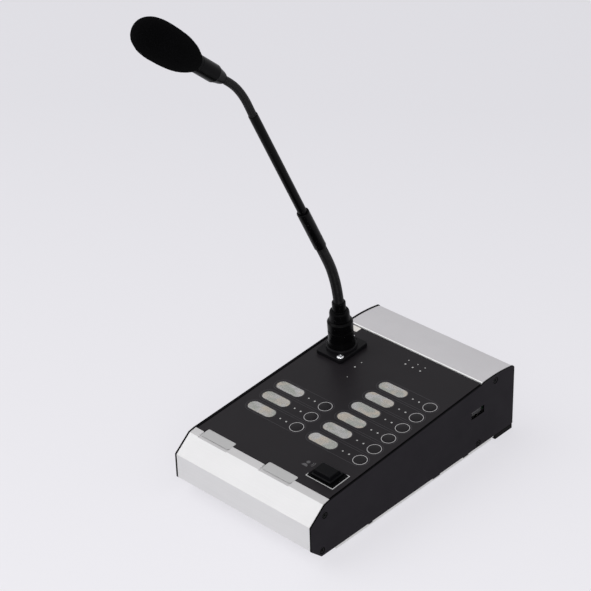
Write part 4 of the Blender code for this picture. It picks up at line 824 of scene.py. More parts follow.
def makeHousing():
    edge = housing["plateEdge"]
    for side in ("left", "right"):
        plate = dressCopy("side_plate_" + side, "sidePlate" + side.title(), edge)
        finishPiece(plate, "blackPaint", "console", "side_plate_" + side, slot="black_paint")
        # the plates' faces that are not turned sideways take the darker copy: painted shade on their edges
        addSecondFinish(plate, "shadedBlackEdge", lambda middle, normal: abs(normal.x) < 0.9)
    rail = dressCopy("front_rail", "frontRail", housing["extrusionEdge"], 3, 12)
    finishPiece(rail, "railAluminium", "console", "front_rail", slot="aluminium")
    # the rail's upward faces take the darker copy of its finish: painted shade
    addSecondFinish(rail, "shadedLandAluminium", lambda middle, normal: normal.z > 0.95)
    cap = dressCopy("rear_cap", "rearCap", housing["extrusionEdge"], 3, 25)
    finishPiece(cap, "capAluminium", "console", "rear_cap", slot="aluminium")
    paintLipHighlight(finishes["capAluminium"])
    tray = dressCopy("base_tray", "baseTray", edge / 2)
    finishPiece(tray, "zincSheet", "console", "base_tray", slot="zinc_steel")


makeHousing()

screwSet = {
    "headRadius": 0.0021,
    "shaftRadius": 0.0013,
    "shaftLength": 5,           # times the head's own depth
    "recess": 0.0011,           # depth of the cross recess
    "armLength": 0.0024,
    "armWidth": 0.00052,
    "edge": 0.00012,
    "turn": 0.5,                # each screw stops at another turn
}


def makeSideScrew():
    # countersunk head with a cross recess, head face at z = 0
    head = screwSet["headRadius"]
    shaft = screwSet["shaftRadius"]
    edge = screwSet["edge"]
    drop = head - shaft
    end = -screwSet["shaftLength"] * drop
    screw = turnProfile("sideScrew", [(0, 0), (head - edge, 0), (head, -edge), (shaft, -drop - edge),
                                      (shaft, end), (0, end)], 40)
    cutCross(screw, screwSet["armLength"] / 2, screwSet["armWidth"] / 2, -screwSet["recess"],
             screwSet["recess"])
    bevelEdges(screw, edge / 2, 1, 40)
    return screw


def placeSideScrews():
    pattern = makeSideScrew()
    for side, sideName in ((-1, "left"), (1, "right")):
        for held in ("rail_upper", "rail_lower", "cap", "tray"):
            node = f"side_screw_{sideName}_{held}"
            low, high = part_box(node)
            outer = high.x if side > 0 else low.x
            place = Matrix.Translation((outer, (low.y + high.y) / 2, (low.z + high.z) / 2))
            turn = Matrix.Rotation(side * math.radians(90), 4, "Y")
            turn = turn @ Matrix.Rotation(screwSet["turn"] + len(held), 4, "Z")
            name = "sideScrew" + sideName.title() + held.title().replace("_", "")
            screw = copyPiece(pattern, name, place @ turn)
            finishPiece(screw, "blackAnodised", "console", node, slot="black_steel")
    bpy.data.objects.remove(pattern)


placeSideScrews()


footSet = {"rearEdge": 0.0003, "frontEdge": 1 / 6}     # the front feet's as a share of their radius


def makeFeet():
    for side in ("left", "right"):
        rear = dressCopy("foot_rear_" + side, "rearFoot" + side.title(), footSet["rearEdge"])
        finishPiece(rear, "rubberFoot", "console", "foot_rear_" + side, slot="rubber")
        low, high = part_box("foot_front_" + side)
        radius = (high.x - low.x) / 2
        edge = radius * footSet["frontEdge"]
        profile = [(0, high.z), (radius - edge / 2, high.z), (radius, high.z - edge / 2), (radius, edge)]
        profile += arcPlaces((radius - edge, edge), edge, 0, -90, 4)[1:]
        profile += [(radius / 2, 0), (radius / 2 - edge / 2, edge / 2), (0, edge / 2)]
        foot = turnProfile("frontFoot" + side.title(), profile, 48)
        finishPiece(foot, "rubberFoot", "console", "foot_front_" + side,
                    at=Matrix.Translation(((low.x + high.x) / 2, (low.y + high.y) / 2, 0)),
                    slot="rubber")


makeFeet()
print("housing dressed")


# Key panel: film, printed marks, windows and keys

keySet = {
    "rowStart": 0.04728,
    "rowPitch": 0.01562,
    "rightRows": 6,
    "leftRows": 3,
    "rightWindow": 0.01855,
    "leftWindow": -0.04346,
    "rightKey": 0.05443,
    "leftKey": -0.00781,
    "windowLength": 0.0255,
    "windowWidth": 0.0098,
    "keyRadius": 0.0047,
    "keyHole": 0.0050,
    "ringInner": 0.00505,
    "ringOuter": 0.00552,
    "outlineRadius": 0.0068,
    "outlineLine": 0.00028,
    "nearDot": 0.0105,          # lamp dots before the key's centre
    "farDot": 0.0166,
    "dotRadius": 0.00074,
    "printRise": 0.00004,
    "rimGap": 0.0006,           # line round a window outside its edge
}
filmSet = {
    "thickness": 0.00055,
    "skin": 0.00020,            # film left over the label pockets
    "start": 0.0014,
    "end": 0.1713,
    "pocketWidth": 0.0292,
    "pocketTail": 0.0069,       # pocket past the last window's centre
    "notchWidth": 0.0296,
    "notchLength": 0.00436,
    "notchCorner": 0.0020,
    "pullReach": 0.0046,        # pull ends in front of the card's end
    "pullZone": 0.0030,
    "talkHole": (0.0210, 0.0172),
    "socketHole": 0.0124,
    "screwHole": 0.0015,
    "edge": 0.00012,
}
talkSet = {
    "x": 0.04805,
    "s": 0.01975,
    "length": 0.0182,
    "width": 0.0144,
    "low": -0.0030,
    "shoulder": 0.0022,
    "border": 0.0009,           # ledge round the raised part
    "top": 0.0060,
    "padLength": 0.0155,        # flat top, across and up the slope
    "padWidth": 0.0099,
    "padForward": 0.0008,       # its middle in front of the skirt's
    "edge": 0.0006,
    "bracketLow": (0.0350, 0.0104),
    "bracketHigh": (0.0612, 0.0291),
    "bracketLine": 0.00070,
    "stubLength": 0.0030,
    "returnLength": 0.0037,
    "bezelMargin": (0.0030, 0.0014),
    "bezelGap": 0.0003,
    "bezelCorner": 0.0012,
    "bezelHeight": (0.0001, 0.0009),
    "bezelEdge": 0.00025,
}
socketSet = {
    "x": -0.0467,
    "s": 0.1405,
    "flangeWidth": 0.0265,
    "flangeLength": 0.0320,
    "flangeLow": 0.0001,
    "flangeTop": 0.0036,
    "flangeCorner": 0.0025,
    "flangeEdge": 0.0005,
    "rimEdge": 0.0010,
    "rimRadius": 0.0122,
    "rimTop": 0.0062,
    "shellRadius": 0.0115,
    "shellBore": 0.0098,
    "shellDepth": 0.0220,
    "boreLap": 0.0004,          # flange opened this much wider than the bore, then filled by the rim
    "screwX": 0.0093,
    "screwS": 0.0120,
    "screwSeat": 0.0015,
    "seatFloor": -0.0010,
    "screwLift": 0.00015,
    "screwTurn": 0.4,
    "latchWidth": 0.0070,
    "latchGap": 0.0003,
    "latchEdge": 0.0002,
    "latchSlot": (0.0139, -0.0135),     # its outer wall and its floor
}


def columns():
    # (window x, key x, rows) of the right and the left column
    return ((keySet["rightWindow"], keySet["rightKey"], keySet["rightRows"]),
            (keySet["leftWindow"], keySet["leftKey"], keySet["leftRows"]))


def keyRows():
    # window x, key x and s of each row
    return [(windowX, keyX, keySet["rowStart"] + row * keySet["rowPitch"])
            for windowX, keyX, rows in columns() for row in range(rows)]


def keyPlaces():
    return [(keyX, s) for _, keyX, s in keyRows()]


def windowOutline(windowX, s, grow=0.0):
    half = keySet["windowLength"] / 2 + grow
    width = keySet["windowWidth"] / 2 + grow
    corner = width - keySet["printRise"]
    return roundedBox((windowX - half, s - width), (windowX + half, s + width), corner, 10)


def makeFilm():
    half = housing["halfWidth"]
    film = addBox("panelFilm", (-half, filmSet["start"], -filmSet["thickness"]), (half, filmSet["end"], 0))
    cutters, pockets = [], []
    over = filmSet["thickness"]
    for x, s in keyPlaces():
        cutters.append(addRod("hole", keySet["keyHole"], -2 * over, over, (x, s), 48))
    hx, hs = filmSet["talkHole"][0] / 2, filmSet["talkHole"][1] / 2
    cutters.append(addBox("hole", (talkSet["x"] - hx, talkSet["s"] - hs, -2 * over),
                          (talkSet["x"] + hx, talkSet["s"] + hs, over)))
    socketPlace = (socketSet["x"], socketSet["s"])
    cutters.append(addRod("hole", filmSet["socketHole"], -2 * over, over, socketPlace, 96))
    for sign in (1, -1):
        centre = (socketSet["x"] + sign * socketSet["screwX"], socketSet["s"] - sign * socketSet["screwS"])
        cutters.append(addRod("hole", filmSet["screwHole"], -2 * over, over, centre, 24))
    for windowX, _, rows in columns():
        for row in range(rows):
            outline = windowOutline(windowX, keySet["rowStart"] + row * keySet["rowPitch"])
            cutters.append(drawSlab("hole", outline, -2 * over, over))
        low = (windowX - filmSet["notchWidth"] / 2, filmSet["start"] - filmSet["notchLength"])
        high = (windowX + filmSet["notchWidth"] / 2, filmSet["start"] + filmSet["notchLength"])
        cutters.append(drawSlab("hole", roundedBox(low, high, filmSet["notchCorner"]), -2 * over, over))
        pocketEnd = keySet["rowStart"] + (rows - 1) * keySet["rowPitch"] + filmSet["pocketTail"]
        pockets.append(addBox("pocket", (windowX - filmSet["pocketWidth"] / 2, -over, -2 * over),
                              (windowX + filmSet["pocketWidth"] / 2, pocketEnd, -filmSet["skin"])))
    cutAway(film, gather("holes", cutters), *pockets)
    bevelEdges(film, filmSet["edge"], 2, 40)
    finishPiece(film, "printedFilm", "console", "panel_film", at=panelFrame, slot="printed_film")


def makeWindows():
    panes = []
    for windowX, _, s in keyRows():
        outline = windowOutline(windowX, s, -keySet["printRise"])
        panes.append(drawSlab("pane", outline, -filmSet["skin"], -filmSet["edge"] / 2))
    windows = gather("labelWindows", panes)
    bevelEdges(windows, filmSet["edge"] / 2, 1, 40)
    finishPiece(windows, "windowFilm", "console", at=panelFrame, slot="label_card")


def ringSlab(name, centre, inner, outer, rise, sides=64):
    # a flat ring of print
    profile = [(inner, 0), (inner, rise), (outer, rise), (outer, 0)]
    ring = turnProfile(name, profile, sides, closed=True)
    return settle(ring, Matrix.Translation((centre[0], centre[1], 0)))


def lineSlab(name, outline, line, rise):
    # an outline of print, drawn as a closed band of the given width
    outer = drawSlab(name, outline(line / 2), 0, rise)
    inner = drawSlab(name, outline(-line / 2), -rise, 2 * rise)
    cutAway(outer, inner)
    return outer


printSet = {
    "dotRise": 1.6,             # times the height of the other print
    "farDotSize": 0.9,
    "plainDots": (              # x, s and size of the lamp dots away from the keys
        (0.0048, 0.1557, 1.0), (0.0120, 0.1557, 1.0), (0.0195, 0.1557, 1.0),
        (0.0038, 0.1610, 0.7), (0.0128, 0.1610, 0.7), (0.0200, 0.1610, 0.7),
        (-0.0234, 0.1294, 1.0), (-0.0231, 0.1367, 0.7), (-0.0195, 0.1163, 0.6),
    ),
    "figure": (0.0268, 0.0212),
    "figureUnit": 0.0015,       # radius of its head, which the next three lines multiply
    "figureBody": (2.2, 1.7),   # how far its middle is below, and its radius
    "waveStart": 1.2,
    "waveStep": 0.9,
    "waveTurn": 35,             # half of each sound arc, degrees
    "stickerLow": (-0.0619, 0.1647),
    "stickerHigh": (-0.0533, 0.1707),
    "stickerCorner": 0.0006,
}


def layPrint(piece, finish):
    # print modelled flat goes on the film
    finishPiece(piece, finish, "console", at=panelFrame, slot="printed_film")


def makePrint():
    rise = keySet["printRise"]
    inner, outer = keySet["ringInner"], keySet["ringOuter"]
    layPrint(gather("keyRings", [ringSlab("ring", place, inner, outer, rise) for place in keyPlaces()]),
             "printSilver")

    bands = []
    line = keySet["outlineLine"]
    for windowX, keyX, s in keyRows():
        start = windowX - keySet["windowLength"] / 2 + keySet["windowWidth"] / 2

        def rowOutline(grow, start=start, keyX=keyX, s=s):
            radius = keySet["outlineRadius"] + grow
            return arcPlaces((keyX, s), radius, -90, 90, 20) + arcPlaces((start, s), radius, 90, 270, 20)

        def rimOutline(grow, windowX=windowX, s=s):
            return windowOutline(windowX, s, keySet["rimGap"] + grow)
        bands.append(lineSlab("band", rowOutline, line, rise))
        bands.append(lineSlab("band", rimOutline, line, rise))
    layPrint(gather("rowLines", bands), "printGrey")

    places = []
    for keyX, s in keyPlaces():
        places += [(keyX - keySet["nearDot"], s, 1.0), (keyX - keySet["farDot"], s, printSet["farDotSize"])]
    places += printSet["plainDots"]
    top = printSet["dotRise"] * rise
    lamps = gather("lampDots", [addRod("dot", keySet["dotRadius"] * size, 0, top, (x, s), 20)
                                for x, s, size in places])
    bevelEdges(lamps, rise / 2, 1, 40)
    layPrint(lamps, "lampLens")


def makeTalkBracket():
    # white corner marks round the talk key
    low, high, line = talkSet["bracketLow"], talkSet["bracketHigh"], talkSet["bracketLine"]
    stub, back = low[1] + talkSet["stubLength"], high[0] - talkSet["returnLength"]
    outline = [(low[0], stub), (low[0], low[1]), (high[0], low[1]), (high[0], high[1]), (back, high[1]),
               (back, high[1] - line), (high[0] - line, high[1] - line), (high[0] - line, low[1] + line),
               (low[0] + line, low[1] + line), (low[0] + line, stub)]
    layPrint(drawSlab("talkBracket", outline, 0, keySet["printRise"]), "printWhite")


def makeFigure():
    # a small plain figure with two sound arcs, beside the talk key
    (x, s), unit, rise = printSet["figure"], printSet["figureUnit"], keySet["printRise"]
    head = addRod("figure", unit, 0, rise, (x, s + unit), 24)
    drop, radius = (share * unit for share in printSet["figureBody"])
    body = drawSlab("figure", arcPlaces((x, s - drop), radius, 0, 180, 12), 0, rise)
    waves = []
    turn = printSet["waveTurn"]
    for number in (1, 2):
        reach = unit * (printSet["waveStart"] + number * printSet["waveStep"])
        outer = arcPlaces((x + unit, s + unit), reach, -turn, turn, 8)
        inner = arcPlaces((x + unit, s + unit), reach - unit / 3, turn, -turn, 8)
        waves.append(drawSlab("figure", outer + inner, 0, rise))
    layPrint(gather("talkFigure", [head, body] + waves), "printFigure")


def makeSticker():
    outline = roundedBox(printSet["stickerLow"], printSet["stickerHigh"], printSet["stickerCorner"])
    layPrint(drawSlab("blankSticker", outline, 0, 2 * keySet["printRise"]), "blankLabel")


def makeStrips():
    # each strip's pull end reaches forward over the rail's channel
    forward = panelFrame.to_3x3() @ Vector((0, -filmSet["pullReach"], 0))
    for side in ("left", "right"):
        strip = dressCopy("label_strip_" + side, "labelStrip" + side.title(), 0)
        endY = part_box("label_strip_" + side)[0].y + filmSet["pullZone"]
        for point in strip.data.vertices:
            if point.co.y < endY:
                point.co += forward
        bevelEdges(strip, filmSet["edge"] / 2, 1, 40)
        finishPiece(strip, "labelCard", "strip_" + side, "label_strip_" + side, slot="label_card")


zoneKeySet = {
    "dome": ((0, 0.00052), (0.35, 0.00050), (0.65, 0.00042), (0.85, 0.00030)),
    "edgeHeights": (0.00016, 0.00002),
    "flangeShare": 1.25,
    "flangeTop": -0.0023,
    "flangeLow": -0.0031,
}


def makeZoneKeys():
    radius = keySet["keyRadius"]
    shoulder, rim = zoneKeySet["edgeHeights"]
    flange, top, low = radius * zoneKeySet["flangeShare"], zoneKeySet["flangeTop"], zoneKeySet["flangeLow"]
    profile = [(radius * share, height) for share, height in zoneKeySet["dome"]]
    profile += [(radius - filmSet["edge"], shoulder), (radius, rim), (radius, top), (flange, top),
                (flange, low), (0, low)]
    pattern = turnProfile("zoneKey", profile, 56)
    for number, (x, s) in enumerate(keyPlaces(), start=1):
        key = copyPiece(pattern, f"zoneKey{number}", panelFrame @ Matrix.Translation((x, s, 0)))
        finishPiece(key, "keyCap", f"key_{number}", f"zone_key_{number}", slot="black_plastic")
    bpy.data.objects.remove(pattern)


makeFilm()
makeWindows()
makePrint()
makeTalkBracket()
makeFigure()
makeSticker()
makeStrips()
makeZoneKeys()
print("key panel dressed")


def selectFaces(piece, test):
    # picks faces by place and normal
    editAll(piece)
    bpy.ops.mesh.select_mode(type="FACE")
    bpy.ops.mesh.select_all(action="DESELECT")
    bpy.ops.object.mode_set(mode="OBJECT")
    for face in piece.data.polygons:
        face.select = test(face.center, face.normal)
    bpy.ops.object.mode_set(mode="EDIT")


def makeTalkKey():
    length, width = talkSet["length"], talkSet["width"]
    key = addBox("talkKey", (-length / 2, -width / 2, talkSet["low"]),
                 (length / 2, width / 2, talkSet["shoulder"]))
    selectFaces(key, lambda centre, normal: normal.z > 0.9)
    border = talkSet["border"]
    bpy.ops.mesh.inset(thickness=border, depth=0)
    climb = (0, 0, talkSet["top"] - talkSet["shoulder"])
    bpy.ops.mesh.extrude_region_move(TRANSFORM_OT_translate={"value": climb})
    shrink = (talkSet["padLength"] / (length - 2 * border), talkSet["padWidth"] / (width - 2 * border), 1.0)
    bpy.ops.transform.resize(value=shrink, center_override=(0, 0, 0))
    bpy.ops.transform.translate(value=(0, -talkSet["padForward"], 0))
    letGo()
    bevelEdges(key, talkSet["edge"], 3, 40)
    place = panelFrame @ Matrix.Translation((talkSet["x"], talkSet["s"], 0))
    finishPiece(key, "talkCap", "talk", "talk_key", at=place, slot="black_plastic")

    margin, gap = talkSet["bezelMargin"], talkSet["bezelGap"]
    outer = (length / 2 + margin[0], width / 2 + margin[1])
    inner = (length / 2 + gap, width / 2 + gap)
    outline = roundedBox((-outer[0], -outer[1]), outer, talkSet["bezelCorner"])
    bezel = drawSlab("talkBezel", outline, *talkSet["bezelHeight"])
    cutAway(bezel, addBox("hole", (-inner[0], -inner[1], -through), (inner[0], inner[1], through)))
    bevelEdges(bezel, talkSet["bezelEdge"], 2, 40)
    finishPiece(bezel, "blackMoulding", "console", "talk_key_bezel", at=place, slot="black_plastic")


makeTalkKey()
print("talk key dressed")


# Microphone socket

socketFrame = panelFrame @ Matrix.Translation((socketSet["x"], socketSet["s"], 0))


def makeSocket():
    bore, rim, top = socketSet["shellBore"], socketSet["rimRadius"], socketSet["rimTop"]
    shell, depth, flangeTop = socketSet["shellRadius"], socketSet["shellDepth"], socketSet["flangeTop"]
    half = (socketSet["flangeWidth"] / 2, socketSet["flangeLength"] / 2)
    flange = drawSlab("micSocket", roundedBox((-half[0], -half[1]), half, socketSet["flangeCorner"], 8),
                      socketSet["flangeLow"], flangeTop)
    bevelEdges(flange, socketSet["flangeEdge"], 3, 40)
    edge = socketSet["rimEdge"]
    ring = turnProfile("rim", [(bore, top), (rim - edge, top), (rim - 0.4 * edge, top - 0.2 * edge),
                               (rim, top - 0.8 * edge), (rim, flangeTop - 0.4 * edge),
                               (shell, 0.3 * edge), (shell, -depth), (bore, -depth)], 96, closed=True)
    cutAway(flange, addRod("bore", bore + socketSet["boreLap"], -through / 2, through / 2, sides=96))
    combine(flange, "UNION", ring)
    gap, (wall, floor) = socketSet["latchGap"], socketSet["latchSlot"]
    latchHalf = socketSet["latchWidth"] / 2 + gap
    cutAway(flange, addBox("slot", (-latchHalf, bore - gap, floor), (latchHalf, wall, through)))
    for sign in (1, -1):
        centre = (sign * socketSet["screwX"], -sign * socketSet["screwS"])
        cutAway(flange, addRod("seat", socketSet["screwSeat"], socketSet["seatFloor"], through, centre, 32))
    finishPiece(flange, "dieCastBlack", "console", "mic_socket", at=socketFrame, slot="black_anodised")

    latch = dressCopy("socket_latch", "socketLatch", socketSet["latchEdge"])
    finishPiece(latch, "nickelPlate", "latch", "socket_latch", slot="nickel")


flangeScrewSet = {
    "profile": ((0, 0.0012), (0.0013, 0.00115), (0.0022, 0.0009), (0.0027, 0.0004), (0.0028, 0.0001),
                (0.0027, 0), (0.0012, 0), (0.0012, -0.0078), (0, -0.0078)),
    "cross": (0.0014, 0.00028, 0.0003, 0.002),      # half length, half width, floor and top
    "edge": 0.00008,
}


def makeFlangeScrews():
    for sign, end in ((1, "front"), (-1, "rear")):
        screw = turnProfile("flangeScrew" + end.title(), flangeScrewSet["profile"], 48)
        cutCross(screw, *flangeScrewSet["cross"])
        bevelEdges(screw, flangeScrewSet["edge"], 1, 40)
        place = Matrix.Translation((sign * socketSet["screwX"], -sign * socketSet["screwS"],
                                    socketSet["flangeTop"] + socketSet["screwLift"]))
        turn = Matrix.Rotation(socketSet["screwTurn"] * sign, 4, "Z")
        finishPiece(screw, "nickelPlate", "console", "socket_screw_" + end,
                    at=socketFrame @ place @ turn, slot="nickel")


makeSocket()
makeFlangeScrews()

plugSet = {
    "foot": 0.0109,
    "body": 0.01005,
    "groove": 0.00955,
    "footHeight": 0.0065,
    "flareTop": 0.0120,
    "grooveHeight": 0.0200,
    "top": 0.0288,
    "sleeveRadius": 0.0095,
    "sleeveBore": 0.0080,
    "sleeveDepth": 0.0135,
    "roof": 0.0085,
    "bore": 0.0056,
    "carrierRadius": 0.0076,
    "carrierHeight": (0.0014, 0.0081),
    "carrierEdge": 0.0003,
    "pinCircle": 0.0045,
    "pinRadius": 0.0012,
    "pinTop": 0.0020,
    "pinEnd": -0.0118,
    "pinTip": (0.0010, 0.0002),             # its taper, from the pin's end
    "pinTipShare": 0.7,
    "pinSpread": 100.0,
}
colletSet = {
    "bore": 0.00408,
    "ferrule": 0.0054,
    "ferruleTop": 0.0450,
    "collar": 0.0083,
    "collarTop": 0.0372,
    "step": 0.0291,
    "neck": 0.0053,
    "low": 0.0188,
    "bevel": 0.00075,
}


def makePlug():
    body, groove, top = plugSet["body"], plugSet["groove"], plugSet["top"]
    foot, flare, mid = plugSet["footHeight"], plugSet["flareTop"], plugSet["grooveHeight"]
    sleeve, sleeveBore, depth = plugSet["sleeveRadius"], plugSet["sleeveBore"], plugSet["sleeveDepth"]
    wide, bore, roof = plugSet["foot"], plugSet["bore"], plugSet["roof"]
    wave = body - groove
    profile = [(bore, top), (body - 3.6 * wave, top)]
    profile += arcPlaces((body - 3.6 * wave, top - 1.8 * wave), 1.8 * wave, 90, 30, 4)[1:]
    profile += arcPlaces((body - 1.2 * wave, top - 3.4 * wave), 1.2 * wave, 60, 0, 3)
    profile += [(body, mid + 1.8 * wave), (body - 0.2 * wave, mid + 1.3 * wave), (groove, mid + 0.9 * wave),
                (groove, mid - 0.9 * wave), (body - 0.2 * wave, mid - 1.3 * wave), (body, mid - 1.8 * wave),
                (body, flare), (body + 0.4 * wave, flare - 3 * wave)]
    profile += [(wide, foot + 2 * wave), (wide, foot + wave), (wide - wave, foot), (sleeve, foot),
                (sleeve, -depth + wave), (sleeve - wave / 2, -depth), (sleeveBore, -depth),
                (sleeveBore, roof), (bore, roof)]
    shell = turnProfile("plugShell", profile, 96, closed=True)
    finishPiece(shell, "blackAnodised", "microphone_plug", "plug_shell",
                at=socketFrame, slot="black_anodised")

    wide, (low, high), edge = plugSet["carrierRadius"], plugSet["carrierHeight"], plugSet["carrierEdge"]
    carrier = turnProfile("plugInsert", [(0, high), (wide, high), (wide, low + edge), (wide - edge, low),
                                         (0, low)], 64)
    finishPiece(carrier, "blackMoulding", "microphone_plug", "plug_insert",
                at=socketFrame, slot="black_plastic")


def makePins():
    radius, top, end = plugSet["pinRadius"], plugSet["pinTop"], plugSet["pinEnd"]
    (far, near), share = plugSet["pinTip"], plugSet["pinTipShare"]
    profile = [(0, top), (radius, top), (radius, end + far), (radius * share, end + near), (0, end)]
    pins = []
    for number in range(3):
        turn = math.radians(-90 + (number - 1) * plugSet["pinSpread"])
        pin = turnProfile("pin", profile, 24)
        centre = (plugSet["pinCircle"] * math.cos(turn), plugSet["pinCircle"] * math.sin(turn), 0)
        pins.append(settle(pin, Matrix.Translation(centre)))
    pins = gather("plugPins", pins)
    finishPiece(pins, "nickelPlate", "microphone_plug", at=socketFrame, slot="nickel")


def makeCollet():
    bore, bevel = colletSet["bore"], colletSet["bevel"]
    ferrule, ferruleTop = colletSet["ferrule"], colletSet["ferruleTop"]
    collar, collarTop = colletSet["collar"], colletSet["collarTop"]
    step, neck, low = colletSet["step"], colletSet["neck"], colletSet["low"]
    profile = [(bore, ferruleTop), (ferrule - bevel, ferruleTop),
               (ferrule - bevel / 4, ferruleTop - bevel / 3), (ferrule, ferruleTop - bevel),
               (ferrule, collarTop + bevel / 2), (ferrule + bevel / 3, collarTop),
               (collar - 3 * bevel, collarTop), (collar - 1.3 * bevel, collarTop - 0.4 * bevel),
               (collar - bevel, collarTop - bevel), (collar - bevel / 2, collarTop - 3 * bevel),
               (collar - bevel / 2, step + 3 * bevel), (collar, step + 2 * bevel), (collar, step),
               (neck, step), (neck, low), (bore, low)]
    collet = turnProfile("plugCollet", profile, 80, closed=True)
    finishPiece(collet, "blackAnodised", "microphone_plug", "plug_collet",
                at=socketFrame, slot="black_anodised")


makePlug()
makePins()
makeCollet()
print("socket and plug dressed")


# Gooseneck

jointPlaces = {joint["name"]: Vector(joint["pos_m"]) for joint in frame["joints"] if "pos_m" in joint}
neckSet = {
    "lowerRadius": 0.00408,
    "lowerRib": 0.00125,
    "lowerDepth": 0.00030,
    "lowerLean": 26.1,          # last lean from the upright, degrees
    "lowerTail": 0.0220,
    "upperRadius": 0.0030,
    "upperRib": 0.00105,
    "upperDepth": 0.00024,
    "upperLean": 50.0,
    "upperTail": 0.0130,
    "buried": 0.0045,           # flex inside the ferrule, sleeve, stem and housing
    "bendShare": 0.34,          # bend on each side of a pivot, as a share of its span
    "bendReach": 0.004,         # and at most this long
    "sides": 40,
}


def leanDirection(degrees):
    lean = math.radians(degrees)
    return Vector((0, -math.sin(lean), math.cos(lean)))


def ribbedProfile(radius, depth, low, high, rib):
    # closed ends, crests at the radius, a valley at each end
    count = max(1, round((high - low) / rib))
    pitch = (high - low) / count
    points = [(0, low), (radius - depth, low)]
    for number in range(count):
        base = low + number * pitch
        points += [(radius - 0.2 * depth, base + 0.20 * pitch), (radius, base + 0.42 * pitch),
                   (radius, base + 0.58 * pitch), (radius - 0.2 * depth, base + 0.80 * pitch),
                   (radius - depth, base + pitch)]
    points += [(0, high)]
    return points


def makeNeckLine(name, points):
    # a smooth line through the pivots
    data = bpy.data.curves.new(name, "CURVE")
    data.dimensions = "3D"
    data.resolution_u = 24
    line = data.splines.new("NURBS")
    line.points.add(len(points) - 1)
    for node, place in zip(line.points, points):
        node.co = (*place, 1.0)
    line.order_u = 3
    line.use_endpoint_u = True
    curve = bpy.data.objects.new(name, data)
    bpy.context.scene.collection.objects.link(curve)
    return curve


def makeNeck(part, start, startDirection):
    # one ribbed tube along a smooth line, in spans that each bend across one pivot
    pivots = [jointPlaces[f"{part}_{way}_{number}"] for number in (1, 2) for way in ("tilt", "side")]
    nodes = [(f"{part}_neck_0", f"{part}_neck_1")] + [(f"{part}_neck_{number}",) for number in (2, 3, 4)]
    radius, depth, rib = neckSet[part + "Radius"], neckSet[part + "Depth"], neckSet[part + "Rib"]
    endDirection = leanDirection(neckSet[part + "Lean"])
    buried = neckSet["buried"]
    end = pivots[-1] + endDirection * neckSet[part + "Tail"]
    route = [start - startDirection * buried, start] + pivots + [end, end + endDirection * buried]
    line = makeNeckLine(part + "NeckLine", route)
    steps = [(b - a).length for a, b in zip(route, route[1:])]
    stations = [sum(steps[:number]) for number in range(len(route))]
    whole = line.data.splines[0].calc_length()
    scale = whole / stations[-1]
    middles = [(stations[number] + stations[number + 1]) / 2 * scale for number in range(2, 1 + len(pivots))]
    seams = [0.0] + middles + [whole]
    for number, pivot in enumerate(pivots):
        low, high = seams[number], seams[number + 1]
        span = turnProfile(f"{part}NeckSpan{number + 1}", ribbedProfile(radius, depth, low, high, rib),
                           neckSet["sides"])
        useModifier(span, "CURVE", object=line, deform_axis="POS_Z")
        finishPiece(span, "flexSteel", None, slot="black_steel", smooth=70, weighted=False)
        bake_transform(span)
        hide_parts(*nodes[number])
    bpy.data.objects.remove(line)


stemSet = {
    "sleeveRadius": 0.00475,
    "sleeveLength": 0.0410,
    "sleeveEdge": 0.0008,
    "sleeveWaist": 0.3,         # groove round the sleeve, as a share of its length
    "sleeveGap": 0.00012,
    "flexDepth": 0.012,         # flex inside the sleeve's lower end
    "boreSlope": 0.001,         # between the sleeve's two bores
    "stemRadius": 0.00345,
    "stemReach": 0.1473,
    "stemInsert": 0.0200,
    "bore": 0.0024,
    "upperBore": 0.0027,        # widened where the upper flex goes in
    "upperBoreDepth": 0.0063,
    "stemEdge": 0.0005,
}


def stemTop():
    along = leanDirection(neckSet["lowerLean"])
    return jointPlaces["lower_side_2"] + along * (neckSet["lowerTail"] + stemSet["stemReach"])


def leanFrame(origin, degrees):
    return Matrix.Translation(origin) @ Matrix.Rotation(math.radians(degrees), 4, "X")


def makeStem():
    place = leanFrame(jointPlaces["lower_side_2"], neckSet["lowerLean"])
    low = neckSet["lowerTail"]
    high = low + stemSet["sleeveLength"]
    radius, edge = stemSet["sleeveRadius"], stemSet["sleeveEdge"]
    inner = stemSet["stemRadius"] + stemSet["sleeveGap"]
    waist, flexTop = low + stemSet["sleeveWaist"] * (high - low), low + stemSet["flexDepth"]
    profile = [(inner, high - edge), (inner + edge / 4, high), (radius - edge, high)]
    profile += arcPlaces((radius - edge, high - edge), edge, 75, 0, 4)
    profile += [(radius, waist), (radius - edge / 6, waist - edge / 4), (radius - edge / 6, waist - edge),
                (radius, waist - 1.3 * edge), (radius, low + edge), (radius - edge / 2, low + edge / 4),
                (radius - 0.75 * edge, low), (neckSet["lowerRadius"], low),
                (neckSet["lowerRadius"], flexTop), (inner, flexTop + stemSet["boreSlope"])]
    sleeve = turnProfile("neckSleeve", profile, 64, closed=True)
    finishPiece(sleeve, "blackAnodised", "stem", "neck_sleeve", at=place, slot="black_anodised")

    radius, top = stemSet["stemRadius"], low + stemSet["stemReach"]
    bottom = high - stemSet["stemInsert"]
    bore, upperBore, step = stemSet["bore"], stemSet["upperBore"], top - stemSet["upperBoreDepth"]
    edge = stemSet["stemEdge"]
    profile = [(upperBore, step), (upperBore, top), (radius - 0.8 * edge, top),
               (radius - 0.2 * edge, top - 0.2 * edge), (radius, top - edge), (radius, bottom),
               (bore, bottom), (bore, step)]
    stem = turnProfile("stemTube", profile, 56, closed=True)
    finishPiece(stem, "blackAnodised", "stem", "stem_tube", at=place, slot="black_steel")


